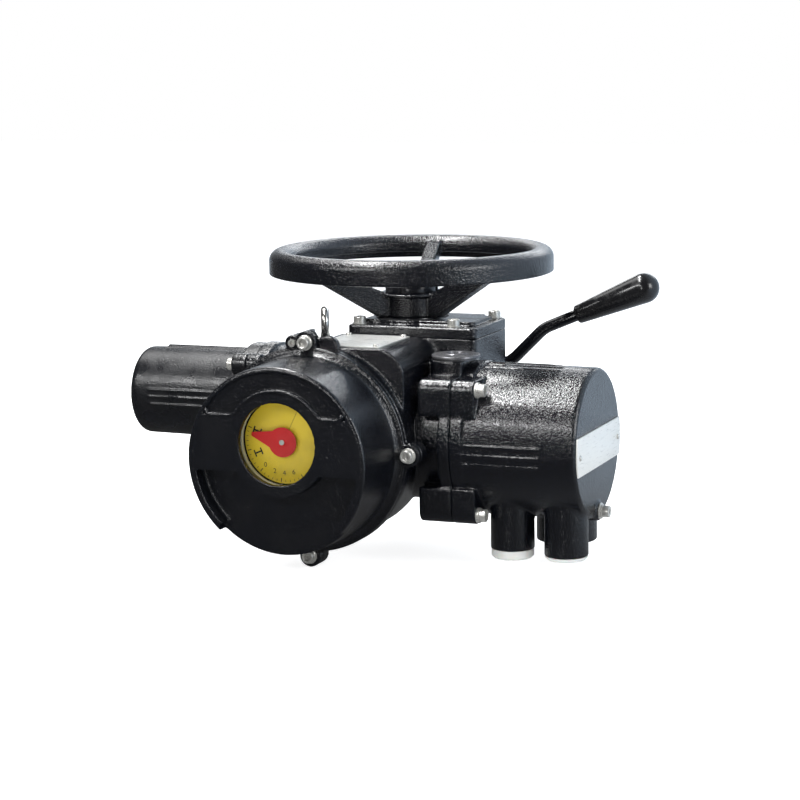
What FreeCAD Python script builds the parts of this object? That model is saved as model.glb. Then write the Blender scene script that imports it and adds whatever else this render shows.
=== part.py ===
import FreeCAD, Part
import math
import os

# Multi-turn electric valve actuator, in millimetres and degrees.
# The origin is the centre of the valve flange's mating face, on the output axis.
# +Z runs up the valve stem, -Y faces the position dial, +X faces the terminal cover.

V = FreeCAD.Vector
QUARTER_TURNS = (0, 90, 180, 270)
DIAGONALS = (45, 135, 225, 315)

# Fits
running = 0.05
free_gap = 0.3
slip = 0.1

# Valve flange and its round foot
flange_r = 62.5
flange_thick = 16.0
flange_pcd = 102.0
flange_bolt_r = 5.0
spigot_r = 35.0
spigot_high = 3.0
foot_gap = 0.4
foot_register_r = 44.0
foot_register_high = 24.0
base_screw_pcr = 53.5
base_head_sunk = 0.5
base_shank = 20.0

# Gear case and its top plate
case_left = -52.0
case_right = 90.5
case_front = -55.0
case_back = 45.0
case_wall = 5.5
case_corner_r = 7.0
case_bottom = 44.0
case_floor = 6.0
case_top = 166.0
plate_thick = 11.0
plate_boss_r = 41.0
plate_boss_high = 4.0
plate_boss_inner_r = 39.0
plate_step_front = 20.0
plate_step_inset = 9.0
plate_notch_r = 10.5
plate_screw_inset = 10.5
near_right_inset = 27.0
plate_pillar_r = 9.0
plate_pillar_high = 30.0
plate_chamfer = 1.2

# M8 socket head screw
m8_r = 4.0
m8_head_r = 6.5
m8_head_high = 8.0
m8_hex_r = 3.4
m8_hex_deep = 4.0
m8_grip = 20.0
m8_hole_spare = 2.0
washer_r = 8.0
washer_thick = 1.6

# Output drive on the stem axis
stem_bore_r = 17.0
sleeve_top_r = 24.0
sleeve_step = 4.0
sleeve_foot_step = 7.0
sleeve_shoulder_step = 13.0
sleeve_bottom = 1.0
sleeve_shoulder_thick = 8.7
sleeve_top = 177.0
drive_bore_r = 21.0
drive_bush_wall = 5.5
drive_bush_bottom = 3.0
drive_bush_long = 45.0
drive_key_wide = 12.0
drive_key_deep = 3.3
lower_bush_wall = 5.0
lower_bush_flange_r = 42.0
lower_bush_flange_thick = 5.0
seal_high = 8.0
seal_wide = 3.0
joint_seal_deep = 5.5

# Worm gear
gear_module = 2.0
wheel_teeth = 36
worm_pitch_r = 14.0
gear_backlash = 0.8
wheel_high = 26.0
worm_axis_z = 98.0
worm_thread_long = 38.0
pressure_angle = 20.0
worm_shaft_r = 10.0
dog_high = 6.5
dog_gap = 2.0
dog_wide = 6.0
dog_angle = 30.0
dog_count = 4

# Hand drive clutch
clutch_rim = 1.0
clutch_high = 20.0
clutch_groove_deep = 3.5
clutch_groove_high = 8.0
clutch_travel = 10.5
clutch_key_wide = 8.0
clutch_key_proud = 1.6
clutch_key_sunk = 3.5

# Handwheel and its sleeve
hand_flange_thick = 6.0
hand_bush_wall = 2.0
hand_spindle_r = 22.0
top_bush_wall = 5.0
wheel_r = 150.0
wheel_rim_wide = 25.0
wheel_rim_low = 228.5
wheel_rim_high = 26.0
rim_inner_lift = 8.0
rim_inner_drop = 9.0
rim_outer_drop = 10.0
rim_crown = 12.0
rim_wall = 4.5
rim_skin = 8.0
hub_r = 29.0
hub_low = 182.0
hub_high = 25.0
hub_lip_r = 34.5
hub_lip_thick = 3.0
spoke_wide = 16.0
spoke_high = 13.0
spoke_foot = 9.0
spoke_first = 100.0
hub_key_wide = 8.0
hub_key_sunk = 3.5
hub_key_proud = 3.3
hub_slot_wide = 6.0
hub_slot_deep = 4.0
hub_nut_r = 28.0
hub_nut_high = 7.0
stem_cap_r = 27.0
stem_cap_high = 13.0
stem_cap_edge = 4.0
stem_cap_plug = 12.0

# Worm shaft and motor
motor_y = -50.0
tunnel_r = 52.0
tunnel_bore_r = 42.0
partition_left = -80.0
partition_right = -62.0
motor_joint_x = -146.0
motor_flange_r = 57.0
motor_flange_thick = 15.0
motor_ear_r = 12.0
motor_ear_thick = 16.5
motor_ear_angles = (40, 140, 220, 320)
motor_screw_pcr = 60.0
motor_grip = 12.0
motor_web = 7.0
motor_r = 48.5
motor_end_r = 46.7
motor_wall = 5.5
motor_long = 144.5
motor_nose_r = 8.0
motor_rib_start = 24.5
motor_rib_long = 95.0
motor_rib_step = 9.0
motor_register_wall = 5.0
stator_back = 31.0
stator_long = 62.0
stator_in_r = 29.0
winding_long = 11.0
winding_gap = 2.0
winding_thin = 3.0
rotor_gap = 0.6
motor_bearing_r = 17.0
worm_nose_step = 2.0
bearing_wide = 14.0
bearing_r = 21.0
bearing_boss_r = 29.0
bearing_seat = 8.0
spring_start = -124.0
spring_count = 6
spring_pitch = 6.0
spring_thick = 2.2
spring_rise = 2.0
spring_r = 26.0
spring_collar_r = 17.0
spring_collar_long = 8.0
spring_play = 0.2
right_bearing_x = 42.0
left_bearing_x = -58.0

# Control compartment and its cover, measured from the cover's own axis
cover_x = -47.5
cover_z = 64.6
cover_joint = 165.0
cover_face = 247.5
cover_face_r = 95.2
face_shift = -2.2
cover_root_r = 96.8
cover_root_high = 4.0
cover_flange_r = 105.0
cover_flange_edge = 1.5
cover_flange_thick = 7.0
cover_wall = 7.0
cover_edge_r = 3.5
cover_screw_pcr = 109.3
cover_lug_r = 11.5
screw_pocket_r = 8.3
body_flange_thick = 14.0
body_lug_long = 16.0
neck_r = 100.0
neck_wall = 7.0
neck_back = 84.0
cone_back = 50.0
cone_small_r = 62.0
jack_turn = 7.6
jack_boss_r = 8.0
jack_screw_r = 3.8
jack_hex_r = 1.8
jack_pocket = 1.4
window_up = 18.4
window_r = 41.0
window_hump_r = 53.0
window_deep = 7.0
band_top = 45.4
band_bottom = -11.1
upper_pocket_deep = 3.0
upper_rim = 5.5
lower_pocket_deep = 16.0
lower_rim = 8.5
lower_opening_up = -64.0
mouth_inset = 3.0
glass_thick = 5.0
glass_lap = 4.0
dial_r = 42.0
dial_thick = 1.5
dial_behind_face = 18.5
pointer_disc_r = 15.0
pointer_reach = 34.0
pointer_thick = 1.2
pointer_lift = 2.5
pointer_angle = 168.0
pointer_root_half = 9.5
pointer_tip_half = 1.8
pointer_root = 9.0
spindle_r = 2.0
spindle_long = 40.0
spindle_head = 1.4
window_ring_thick = 5.0
dial_play = 0.5
backplate_front = 112.0
backplate_thick = 4.0
backplate_r = 86.0
backplate_post_r = 8.0
backplate_post_pcr = 72.0
plate_screw_r = 2.5
plate_head_r = 4.2
plate_head_high = 5.0
plate_hex_r = 2.2

# Control gear on the backplate
gearbox_half_wide = 34.0
gearbox_half_high = 26.0
gearbox_deep = 52.0
gearbox_neck_r = 14.0
dial_table_r = 30.0
dial_table_thick = 6.0
limit_left = -76.0
limit_right = -34.0
limit_low = -38.0
limit_high = 26.0
limit_deep = 34.0
drum_r = 7.5
drum_proud = 12.0
drum_inset = 11.0
drum_heights = (-22.0, -2.0)
switch_inset = 22.0
switch_wide = 11.0
switch_pitch = 14.0
switch_low = -30.0
switch_proud = 18.0
torque_left = 38.0
torque_right = 74.0
torque_low = -34.0
torque_deep = 22.0
torque_dial_r = 9.0
torque_dial_heights = (-20.0, 8.0)
torque_switch_tall = 22.0
torque_switch_pitch = 30.0
board_half = 52.0
board_low = -70.0
board_high = -38.0
board_thick = 1.6
board_lift = 8.0
spacer_r = 3.5
spacer_inset = 6.0

# Terminal compartment, measured from its own axis
term_y = -64.0
term_z = 67.0
term_r = 78.0
term_joint = 93.0
term_end = 224.5
term_taper = 1.5
term_wall = 5.0
term_rim_thick = 13.0
term_rim_proud = 1.5
term_neck_r = 66.0
term_neck_left = 30.0
term_lug_left = 58.0
term_room_left = 54.0
term_lug_thick = 25.0
term_lug_inset = 5.0
term_lug_corner_r = 12.0
term_lug_down = 4.5
term_lug_tall = 36.5
term_screw_inset = 9.5
term_chamfer = 3.0
rib_wide = 6.4
rib_high = 3.0
rib_slope = 1.8
rib_sunk = 3.5
rib_pitch = 7.0
rib_long = 79.0
rib_start = 107.0
top_rib_start = 111.0
entry_r = 22.3
entry_bore_r = 16.0
entry_bore_top = 15.0
entry_front_y = -96.0
entries = ((144.0, -39.0, 9.5), (201.0, -43.0, 4.0))
big_entry_r = 31.0
big_entry_bore_r = 24.0
big_entry_bottom = -37.0
big_entry_top = 9.0
big_entry_at = (186.0, -48.0)
skirt_down = 40.0
entry_wall = 2.0
entry_plug_long = 18.0
entry_plug_edge = 2.5
entry_plug_in = 0.7

# Terminal block
board_clear = 3.0
board_side = 5.0
barrier_thick = 2.4
barrier_high = 11.0
barrier_long = 48.0
barrier_heights = (-36.0, -18.0, 0.0, 18.0, 36.0)
stud_columns = (-38.0, -22.0, -6.0)
stud_rows = (-27.0, -9.0, 9.0, 27.0)
stud_deep = 6.0
stud_r = 2.0
stud_proud = 9.0
stud_nut_r = 4.4
stud_nut_high = 4.0

# Hand lever
lever_x = 52.0
lever_z = 118.0
lever_plane_y = 60.0
lever_bends = ((88.0, 126.0), (127.0, 164.5), (164.0, 180.0))
lever_shaft_r = 8.0
lever_boss_r = 18.0
lever_boss_front = 30.0
lever_boss_back = 50.5
lever_bush_wall = 2.0
lever_hub_r = 15.0
lever_hub_long = 18.0
lever_end = 2.0
lever_bend_r = 40.0
rod_r = 6.25
grip_edge = 1.5
grip_start_r = 10.0
grip_end_r = 16.0
grip_long = 95.0
fork_thick = 6.0
fork_arm = 3.8
fork_gap = 0.7
fork_hub_wall = 5.0
fork_hub_long = 30.0
fork_neck_half = 12.0
fork_pin_r = 2.6
fork_pin_long = 3.0

# Small fittings
plug_x = 79.0
plug_y = -80.0
plug_boss_r = 26.2
plug_boss_low = 100.0
plug_boss_lift = 5.0
plug_collar_high = 6.0
plug_collar_in = 1.5
plug_crown_in = 5.0
plug_thread_r = 12.5
plug_thread_long = 14.0
plug_hole_deep = 18.0
plug_hex_r = 8.0
plug_hex_deep = 5.0
oil_way_r = 5.0
oil_way_up = 7.0
wire_way_r = 10.0
wire_way_long = 40.0
wire_way_at = (30.0, -118.0, 60.0)
pad_top = 167.0
pad_low = 44.6
pad_left = -59.5
shoulder_lap = 5.0
pad_right = 22.0
pad_corner_r = 28.0
name_left = -50.0
name_right = 22.0
name_front = -147.0
name_back = -62.0
name_corner_r = 2.0
name_thick = 1.2
term_name_high = 39.0
term_name_down = 3.5
term_name_inset = 0.5
term_name_thick = 1.5
earth_inset = 7.0
earth_boss_r = 10.0
earth_boss_long = 14.0
earth_boss_proud = 2.0
earth_head_r = 6.0
earth_head_high = 7.0
earth_hex_r = 3.0
earth_hex_deep = 3.5
earth_washer_rs = (7.0, 8.5)
eye_x = -35.0
eye_y = -150.0
eye_seat = 172.0
eye_boss_low = 150.0
eye_boss_r = 7.5
eye_collar_r = 6.5
eye_face_r = 10.5
eye_neck_r = 5.0
eye_collar_high = 5.0
eye_centre = 192.5
eye_ring_r = 12.0
eye_wire_r = 4.0
eye_turn = 24.0
eye_grip = 12.0
eye_lug_r = 13.0
eye_lug_pcr = 105.0
eye_lug_angle = 79.0
eye_lug_thick = 7.0


def disc(r, low, high, at=(0.0, 0.0)):
    """A solid cylinder along local Z, from low to high."""
    return Part.makeCylinder(r, high - low, V(at[0], at[1], low))


def tube(r_in, r_out, low, high, at=(0.0, 0.0)):
    """A round sleeve along local Z."""
    return disc(r_out, low, high, at).cut(disc(r_in, low - 1, high + 1, at))


def block(x0, x1, y0, y1, z0, z1):
    """A box between two corners."""
    return Part.makeBox(x1 - x0, y1 - y0, z1 - z0, V(x0, y0, z0))


def rounded_block(x0, x1, y0, y1, z0, z1, r):
    """A box whose upright edges are rounded."""
    box = block(x0, x1, y0, y1, z0, z1)
    upright = [e for e in box.Edges if abs(e.tangentAt(e.FirstParameter).z) > 0.9]
    return box.makeFillet(r, upright)


def hexagon(r, low, high, at=(0.0, 0.0)):
    """A six-sided bar along local Z; r is its corner radius."""
    turns = [math.radians(60 * k) for k in range(7)]
    points = [V(at[0] + r * math.cos(t), at[1] + r * math.sin(t), low) for t in turns]
    return Part.Face(Part.makePolygon(points)).extrude(V(0, 0, high - low))


def turned(points):
    """A solid of revolution about local Z, from (radius, height) points."""
    corners = [V(r, 0, z) for r, z in points]
    outline = Part.makePolygon(corners + corners[:1])
    return Part.Face(outline).revolve(V(0, 0, 0), V(0, 0, 1), 360)


def on_circle(r, degrees, centre=(0.0, 0.0)):
    """A point on a circle in the local XY plane."""
    t = math.radians(degrees)
    return (centre[0] + r * math.cos(t), centre[1] + r * math.sin(t))


def joined(shapes):
    """Several solids fused into one."""
    return shapes[0].multiFuse(shapes[1:]).removeSplitter()


def front(shape):
    """Moves a shape from the cover's frame, where local Z comes out of the dial, into place."""
    placed = shape.copy()
    placed.rotate(V(0, 0, 0), V(1, 0, 0), 90)
    placed.translate(V(cover_x, 0, cover_z))
    return placed


def along_x(shape, y=0.0, z=0.0):
    """Turns local X, Y, Z into world Y, Z, X, and moves the shape's axis to y, z."""
    placed = shape.copy()
    placed.rotate(V(0, 0, 0), V(1, 1, 1), 120)
    placed.translate(V(0, y, z))
    return placed


def term(shape):
    return along_x(shape, term_y, term_z)


def motor(shape):
    return along_x(shape, motor_y, worm_axis_z)


def lever_disc(r, front_y, back_y):
    """A solid cylinder on the lever's axis, between two places along Y."""
    return Part.makeCylinder(r, back_y - front_y, V(lever_x, front_y, lever_z), V(0, 1, 0))


def socket_screw(seat, point, at=(0.0, 0.0)):
    """An M8 socket head screw along local Z: its head stands on seat and its shank ends at point."""
    up = 1 if seat > point else -1
    top = seat + up * m8_head_high
    head = disc(m8_head_r, min(seat, top), max(seat, top), at)
    shank = disc(m8_r, min(seat, point), max(seat, point), at)
    floor = top - up * m8_hex_deep
    socket = hexagon(m8_hex_r, min(floor, top), max(floor, top), at)
    return head.fuse(shank).cut(socket).removeSplitter()


# Places worked out from the driving dimensions

case_inner = (case_left + case_wall, case_right - case_wall, case_front + case_wall, case_back - case_wall)
sleeve_step_r = sleeve_top_r + sleeve_step
sleeve_foot_r = sleeve_top_r + sleeve_foot_step
sleeve_shoulder_r = sleeve_top_r + sleeve_shoulder_step
dog_in_r = sleeve_top_r + dog_gap
dog_out_r = dog_in_r + dog_wide
clutch_out_r = dog_out_r + clutch_rim
hand_tube_r = dog_out_r - 1
base_seat = m8_head_high + base_head_sunk
wheel_pitch_r = gear_module * wheel_teeth / 2
wheel_low = worm_axis_z - wheel_high / 2
wheel_top = worm_axis_z + wheel_high / 2
foot_top = flange_thick + foot_register_high
lower_bush_top = foot_top + lower_bush_flange_thick
shoulder_low = lower_bush_top + free_gap
shoulder_top = shoulder_low + sleeve_shoulder_thick
clutch_low = wheel_top + dog_high + free_gap
clutch_top = clutch_low + clutch_high
hand_dog_low = clutch_top + clutch_travel + free_gap
hand_flange_low = hand_dog_low + dog_high
hand_flange_top = hand_flange_low + hand_flange_thick
top_bush_low = hand_flange_top + free_gap
plate_top = case_top + plate_thick
boss_top = plate_top + plate_boss_high
top_seal_low = boss_top - 5.0
plate_screws = [
    (case_left + plate_screw_inset, case_front + plate_screw_inset),
    (case_right - near_right_inset, case_front + plate_screw_inset),
    (case_right - plate_screw_inset, case_back - plate_screw_inset),
    (case_left + plate_screw_inset, case_back - plate_screw_inset),
]
cover_screws = [on_circle(cover_screw_pcr, t) for t in QUARTER_TURNS]
jack_spot = on_circle(cover_screw_pcr, 90 + jack_turn)
eye_lug_spot = on_circle(eye_lug_pcr, eye_lug_angle)
face_centre = (face_shift, 0.0)
term_lug_half = term_r - term_lug_inset
term_end_r = term_r - term_taper
plug_boss_top = term_z + term_r + plug_boss_lift
earth_spot = (0.0, -term_end_r + earth_inset)
cover_seat = cover_joint + cover_flange_thick
term_screw_spots = [
    (sx * (term_lug_half - term_screw_inset), sy * (term_lug_half - term_screw_inset) - term_lug_down)
    for sx in (-1, 1)
    for sy in (-1, 1)
]
motor_screw_spots = [on_circle(motor_screw_pcr, t) for t in motor_ear_angles]
ear_back = motor_joint_x - motor_ear_thick
motor_end = motor_joint_x - motor_long
stator_right = motor_joint_x - stator_back
stator_left = stator_right - stator_long
stud_spots = [(x, y) for y in stud_rows for x in stud_columns]
board_back = right_bearing_x + bearing_wide + bearing_seat + 2
stud_seat = term_joint - 1
dial_front = cover_face - dial_behind_face
earth_seat = term_end + earth_boss_proud
oil_way_z = plug_boss_top - plug_hole_deep + oil_way_up
oil_way_long = case_front + case_wall - plug_y + 1
lever_points = [V(x, lever_plane_y, z) for x, z in ((lever_x, lever_z),) + lever_bends]
glass_front = cover_face - window_deep


def make_base():
    """The round foot with the valve flange, its spigot and a register for the gear case."""
    bore_r = sleeve_foot_r + foot_gap
    foot = joined([
        disc(flange_r, 0, flange_thick),
        disc(spigot_r, -spigot_high, 1),
        disc(foot_register_r, flange_thick - 1, foot_top),
    ])
    foot = foot.cut(disc(bore_r, -spigot_high - 1, foot_top + 1))
    foot = foot.cut(disc(sleeve_foot_r + lower_bush_wall, seal_high, foot_top + 1))
    for t in DIAGONALS:
        foot = foot.cut(disc(flange_bolt_r, -1, flange_thick + 1, on_circle(flange_pcd / 2, t)))
    for t in QUARTER_TURNS:
        spot = on_circle(base_screw_pcr, t)
        foot = foot.cut(disc(m8_head_r + slip, -1, base_seat, spot))
        foot = foot.cut(disc(m8_r + slip, -1, flange_thick + 1, spot))
    return foot


def make_base_screws():
    """Four socket screws, from below, that hold the foot to the gear case."""
    spots = [on_circle(base_screw_pcr, t) for t in QUARTER_TURNS]
    return [socket_screw(base_seat, base_seat + base_shank, s) for s in spots]


def shoulder_profile():
    """The casting's flat shoulder beside the round neck, as a face in the cover's frame."""
    top = pad_top - cover_z
    right = pad_right - cover_x
    side = right + pad_corner_r
    low = pad_low - cover_z
    left = pad_left - cover_x
    arc_mid = on_circle(pad_corner_r, 45, (right, top - pad_corner_r))
    edges = [
        Part.LineSegment(V(left, low, 0), V(left, top, 0)),
        Part.LineSegment(V(left, top, 0), V(right, top, 0)),
        Part.Arc(V(right, top, 0), V(arc_mid[0], arc_mid[1], 0), V(side, top - pad_corner_r, 0)),
        Part.LineSegment(V(side, top - pad_corner_r, 0), V(side, low, 0)),
        Part.LineSegment(V(side, low, 0), V(left, low, 0)),
    ]
    return Part.Face(Part.Wire([e.toShape() for e in edges]))


def term_lugs(low, high):
    """The four square corner lugs of the terminal flange, in the terminal frame."""
    half = term_lug_half
    bottom = -half - term_lug_down
    top = half - term_lug_down
    plate = rounded_block(-half, half, bottom, top, low, high, term_lug_corner_r)
    middle = block(-half, half, bottom + term_lug_tall, top - term_lug_tall, low - 1, high + 1)
    between = block(term_lug_tall - half, half - term_lug_tall, bottom, top, low - 1, high + 1)
    return plate.cut(middle).cut(between)


def cover_lug_shapes(low, high):
    """Bosses for the four cover screws and the jacking screw beside the top one."""
    bosses = [disc(cover_lug_r, low, high, spot) for spot in cover_screws]
    return bosses + [disc(jack_boss_r, low, high, jack_spot)]


def make_housing():
    """The main casting: gear case, control neck, terminal neck and motor tunnel."""
    flange_back = cover_joint - body_flange_thick
    case = rounded_block(case_left, case_right, case_front, case_back, case_bottom, case_top, case_corner_r)
    barrel = disc(flange_r, flange_thick, case_bottom + case_floor)
    shoulder_back = -case_front - shoulder_lap
    shoulder = shoulder_profile().extrude(V(0, 0, flange_back + 2 - shoulder_back))
    shoulder.translate(V(0, 0, shoulder_back))
    neck = [
        disc(neck_r, neck_back, flange_back + 1),
        disc(cover_flange_r, flange_back, cover_joint),
        disc(eye_lug_r, cover_joint - eye_lug_thick, cover_joint, eye_lug_spot),
        shoulder,
    ] + cover_lug_shapes(cover_joint - body_lug_long, cover_joint)
    cone = Part.makeCone(cone_small_r, neck_r, neck_back - cone_back, V(0, 0, cone_back))
    neck = front(joined(neck + [cone]))
    eye_boss = disc(eye_boss_r, eye_boss_low, eye_seat, (eye_x, eye_y))
    term_neck = term(joined([
        disc(term_neck_r, term_neck_left, term_joint - 1),
        disc(term_r + term_rim_proud, term_joint - term_rim_thick, term_joint),
        term_lugs(term_lug_left, term_joint),
    ]))
    tunnel = motor(joined(
        [
            disc(tunnel_r, motor_joint_x, left_bearing_x - 2),
            disc(motor_flange_r, motor_joint_x, motor_joint_x + motor_flange_thick),
        ]
        + [disc(motor_ear_r, motor_joint_x, motor_joint_x + motor_flange_thick, s) for s in motor_screw_spots]
    ))
    plug_boss = disc(plug_boss_r, plug_boss_low, plug_boss_top, (plug_x, plug_y))
    lever_boss = lever_disc(lever_boss_r, lever_boss_front, lever_boss_back)
    body = joined([case, barrel, neck, eye_boss, term_neck, tunnel, plug_boss, lever_boss])
    body = body.cut(block(case_left, case_right, case_front, case_back, case_top, case_top + 50))
    body = body.cut(disc(flange_r + 1, -60, flange_thick))
    body = body.cut(block(term_joint, term_end, -200, case_back, 0, case_top))
    body = body.cut(block(motor_end, motor_joint_x, -cover_joint + body_flange_thick, case_back, 0, case_top))

    x0, x1, y0, y1 = case_inner
    control_room = front(disc(neck_r - neck_wall, neck_back + neck_wall, cover_joint + 1))
    term_room = term(disc(term_neck_r - case_wall, term_room_left, term_joint + 1))
    term_room = term_room.cut(block(-200, term_joint - case_wall, case_front, 200, -200, 400))
    term_room = term_room.cut(front(disc(neck_r, 0, cover_joint)))
    case_room = block(x0, x1, y0, y1, case_bottom + case_floor, case_top + 1)
    body = body.cut(control_room).cut(term_room).cut(case_room)

    lining = motor(disc(tunnel_r, motor_joint_x + motor_flange_thick, partition_right))
    right_seat_end = right_bearing_x + bearing_wide + bearing_seat
    seats = motor(disc(bearing_boss_r, left_bearing_x - bearing_seat - 2, x0 + 2))
    seats = seats.fuse(motor(disc(bearing_boss_r, right_bearing_x - 4, right_seat_end)))
    pillars = [disc(plate_pillar_r, case_top - plate_pillar_high, case_top, s) for s in plate_screws]
    post_back = neck_back + neck_wall - 1
    post_top = backplate_front - backplate_thick
    posts = [
        front(disc(backplate_post_r, post_back, post_top, on_circle(backplate_post_pcr, t)))
        for t in DIAGONALS
    ]
    for piece in [lining, seats] + pillars + posts:
        body = body.fuse(piece)

    cuts = [
        motor(disc(tunnel_bore_r, motor_joint_x - 1, partition_left)),
        motor(disc(worm_pitch_r + 5, x0 - 1, right_bearing_x)),
        motor(disc(bearing_r, left_bearing_x, left_bearing_x + bearing_wide)),
        motor(disc(bearing_r, right_bearing_x, right_bearing_x + bearing_wide)),
        motor(disc(worm_shaft_r + 3, partition_left - 1, right_bearing_x + bearing_wide + 5)),
        disc(foot_register_r, flange_thick - 1, case_bottom + case_floor + 1),
        lever_disc(lever_shaft_r + running + lever_bush_wall, case_back - case_wall - 1, lever_boss_back + 1),
        Part.makeCylinder(wire_way_r, wire_way_long, V(*wire_way_at), V(1, 0, 0)),
        disc(plug_thread_r, plug_boss_top - plug_hole_deep, plug_boss_top + 1, (plug_x, plug_y)),
        Part.makeCylinder(oil_way_r, oil_way_long, V(plug_x, plug_y, oil_way_z), V(0, 1, 0)),
        disc(m8_r, eye_seat - eye_grip - m8_hole_spare, eye_seat + 1, (eye_x, eye_y)),
        disc(eye_face_r, eye_seat, eye_centre, (eye_x, eye_y)),
    ]
    deep = m8_grip + m8_hole_spare
    cuts += [disc(m8_r, case_top - deep, case_top + 1, s) for s in plate_screws]
    cuts += [front(disc(m8_r, cover_joint - deep, cover_joint + 1, s)) for s in cover_screws]
    cuts += [term(disc(m8_r, term_joint - deep, term_joint + 1, s)) for s in term_screw_spots]
    motor_hole_end = motor_joint_x + motor_grip + 1
    cuts += [motor(disc(m8_r, motor_joint_x - 1, motor_hole_end, s)) for s in motor_screw_spots]
    base_hole_top = base_seat + base_shank + m8_hole_spare
    cuts += [disc(m8_r, base_seat, base_hole_top, on_circle(base_screw_pcr, t)) for t in QUARTER_TURNS]
    for tool in cuts:
        body = body.cut(tool)
    return body.removeSplitter()


def make_top_plate():
    """The lid of the gear case, with the handwheel's bearing boss."""
    bush_r = hand_tube_r + top_bush_wall
    plate = rounded_block(case_left, case_right, case_front, case_back, case_top, plate_top, case_corner_r)
    top_edges = [e for e in plate.Edges if e.BoundBox.ZMin > plate_top - 0.01]
    plate = plate.makeChamfer(plate_chamfer, top_edges)
    step = rounded_block(
        case_left + plate_step_inset, case_right - plate_step_inset, case_front + plate_step_front,
        case_back - plate_step_inset, plate_top - 1, boss_top, case_corner_r,
    )
    for spot in plate_screws:
        step = step.cut(disc(plate_notch_r, plate_top - 2, boss_top + 1, spot))
    lid = joined([
        plate,
        step,
        disc(plate_boss_r, plate_top - 1, boss_top),
        disc(plate_boss_inner_r, case_top - 4, case_top + 1),
    ])
    lid = lid.cut(disc(bush_r, case_top - 10, boss_top + 1))
    lid = lid.cut(disc(bush_r + 2, top_seal_low, boss_top + 1))
    for spot in plate_screws:
        lid = lid.cut(disc(m8_r + slip, case_top - 1, plate_top + 1, spot))
    return lid


def make_top_plate_screws():
    return [socket_screw(plate_top, case_top - m8_grip, s) for s in plate_screws]


def dogs(low, high, turn):
    """Driving dogs standing between two heights, spaced evenly round the stem axis."""
    ring = tube(dog_in_r, dog_out_r, low, high)
    wedges = []
    for k in range(dog_count):
        start = turn + k * 360.0 / dog_count - dog_angle / 2
        sector = Part.makeCylinder(dog_out_r + 5, high - low, V(0, 0, low), V(0, 0, 1), dog_angle)
        sector.rotate(V(0, 0, 0), V(0, 0, 1), start)
        wedges.append(ring.common(sector))
    return wedges


def make_drive_sleeve():
    """The hollow output shaft that carries the worm wheel, the clutch and the stem bush."""
    bush_r = drive_bore_r + drive_bush_wall
    sleeve = joined([
        disc(sleeve_foot_r, sleeve_bottom, shoulder_low + 1),
        disc(sleeve_shoulder_r, shoulder_low, shoulder_top),
        disc(sleeve_step_r, shoulder_top - 1, wheel_low - free_gap),
        disc(sleeve_top_r, wheel_low - 2, sleeve_top),
    ])
    sleeve = sleeve.cut(disc(stem_bore_r, 0, sleeve_top + 1))
    sleeve = sleeve.cut(disc(bush_r, sleeve_bottom - 1, drive_bush_bottom + drive_bush_long))
    for slot in feather_bars(sleeve_step):
        sleeve = sleeve.cut(slot)
    return sleeve


def feather_bars(proud):
    """Two bars sunk in opposite sides of the output shaft and standing proud of it."""
    bars = []
    half = clutch_key_wide / 2
    for turn in (0, 180):
        low_r = sleeve_top_r - clutch_key_sunk
        bar = block(-half, half, low_r, sleeve_top_r + proud, clutch_low, hand_dog_low - 1)
        bar.rotate(V(0, 0, 0), V(0, 0, 1), turn)
        bars.append(bar)
    return bars


def make_clutch_keys():
    """Two feather keys that turn the clutch ring with the output shaft and let it slide."""
    return feather_bars(clutch_key_proud)


def make_drive_bush():
    """The keyed stem bush in the bottom of the output shaft."""
    top = drive_bush_bottom + drive_bush_long
    bush = tube(drive_bore_r, drive_bore_r + drive_bush_wall, drive_bush_bottom, top)
    half = drive_key_wide / 2
    key_slot = block(-half, half, 0, drive_bore_r + drive_key_deep, drive_bush_bottom - 1, top + 1)
    return bush.cut(key_slot)


def make_lower_bush():
    """The flanged bronze bush that carries the output shaft and its thrust."""
    wall_r = sleeve_foot_r + lower_bush_wall
    low = seal_high * 2
    bush = disc(wall_r, low, foot_top + 1).fuse(disc(lower_bush_flange_r, foot_top, lower_bush_top))
    return bush.cut(disc(sleeve_foot_r + running, 0, 100)).removeSplitter()


def make_base_seal():
    return tube(sleeve_foot_r + running, sleeve_foot_r + lower_bush_wall, seal_high, seal_high * 2)


def make_worm_wheel():
    """The bronze worm wheel, with gashed teeth and clutch dogs on top."""
    tip_r = wheel_pitch_r + gear_module
    root_r = wheel_pitch_r - 1.25 * gear_module
    blank = tube(sleeve_top_r + running, tip_r, wheel_low, wheel_top)
    pitch = math.pi * gear_module
    flank = math.tan(math.radians(pressure_angle))
    half_pitch = (pitch / 2 + gear_backlash / 2) / 2
    half_root = half_pitch - flank * 1.25 * gear_module
    half_tip = half_pitch + flank * 1.6 * gear_module
    past_r = wheel_pitch_r + 1.6 * gear_module
    corners = [
        V(-half_root, -root_r, 0), V(half_root, -root_r, 0),
        V(half_tip, -past_r, 0), V(-half_tip, -past_r, 0),
    ]
    gash_face = Part.Face(Part.makePolygon(corners + corners[:1]))
    lead = math.degrees(math.atan(gear_module / (2 * worm_pitch_r)))
    reach = wheel_high
    gash_face.translate(V(0, 0, -reach))
    gash = gash_face.extrude(V(0, 0, 2 * reach))
    gash.rotate(V(0, -wheel_pitch_r, 0), V(0, 1, 0), lead)
    gash.translate(V(0, 0, worm_axis_z))
    gashes = []
    for k in range(wheel_teeth):
        copy = gash.copy()
        copy.rotate(V(0, 0, 0), V(0, 0, 1), k * 360.0 / wheel_teeth)
        gashes.append(copy)
    wheel = blank.cut(Part.makeCompound(gashes))
    return joined([wheel] + dogs(wheel_top - 1, wheel_top + dog_high, 0))


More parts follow.
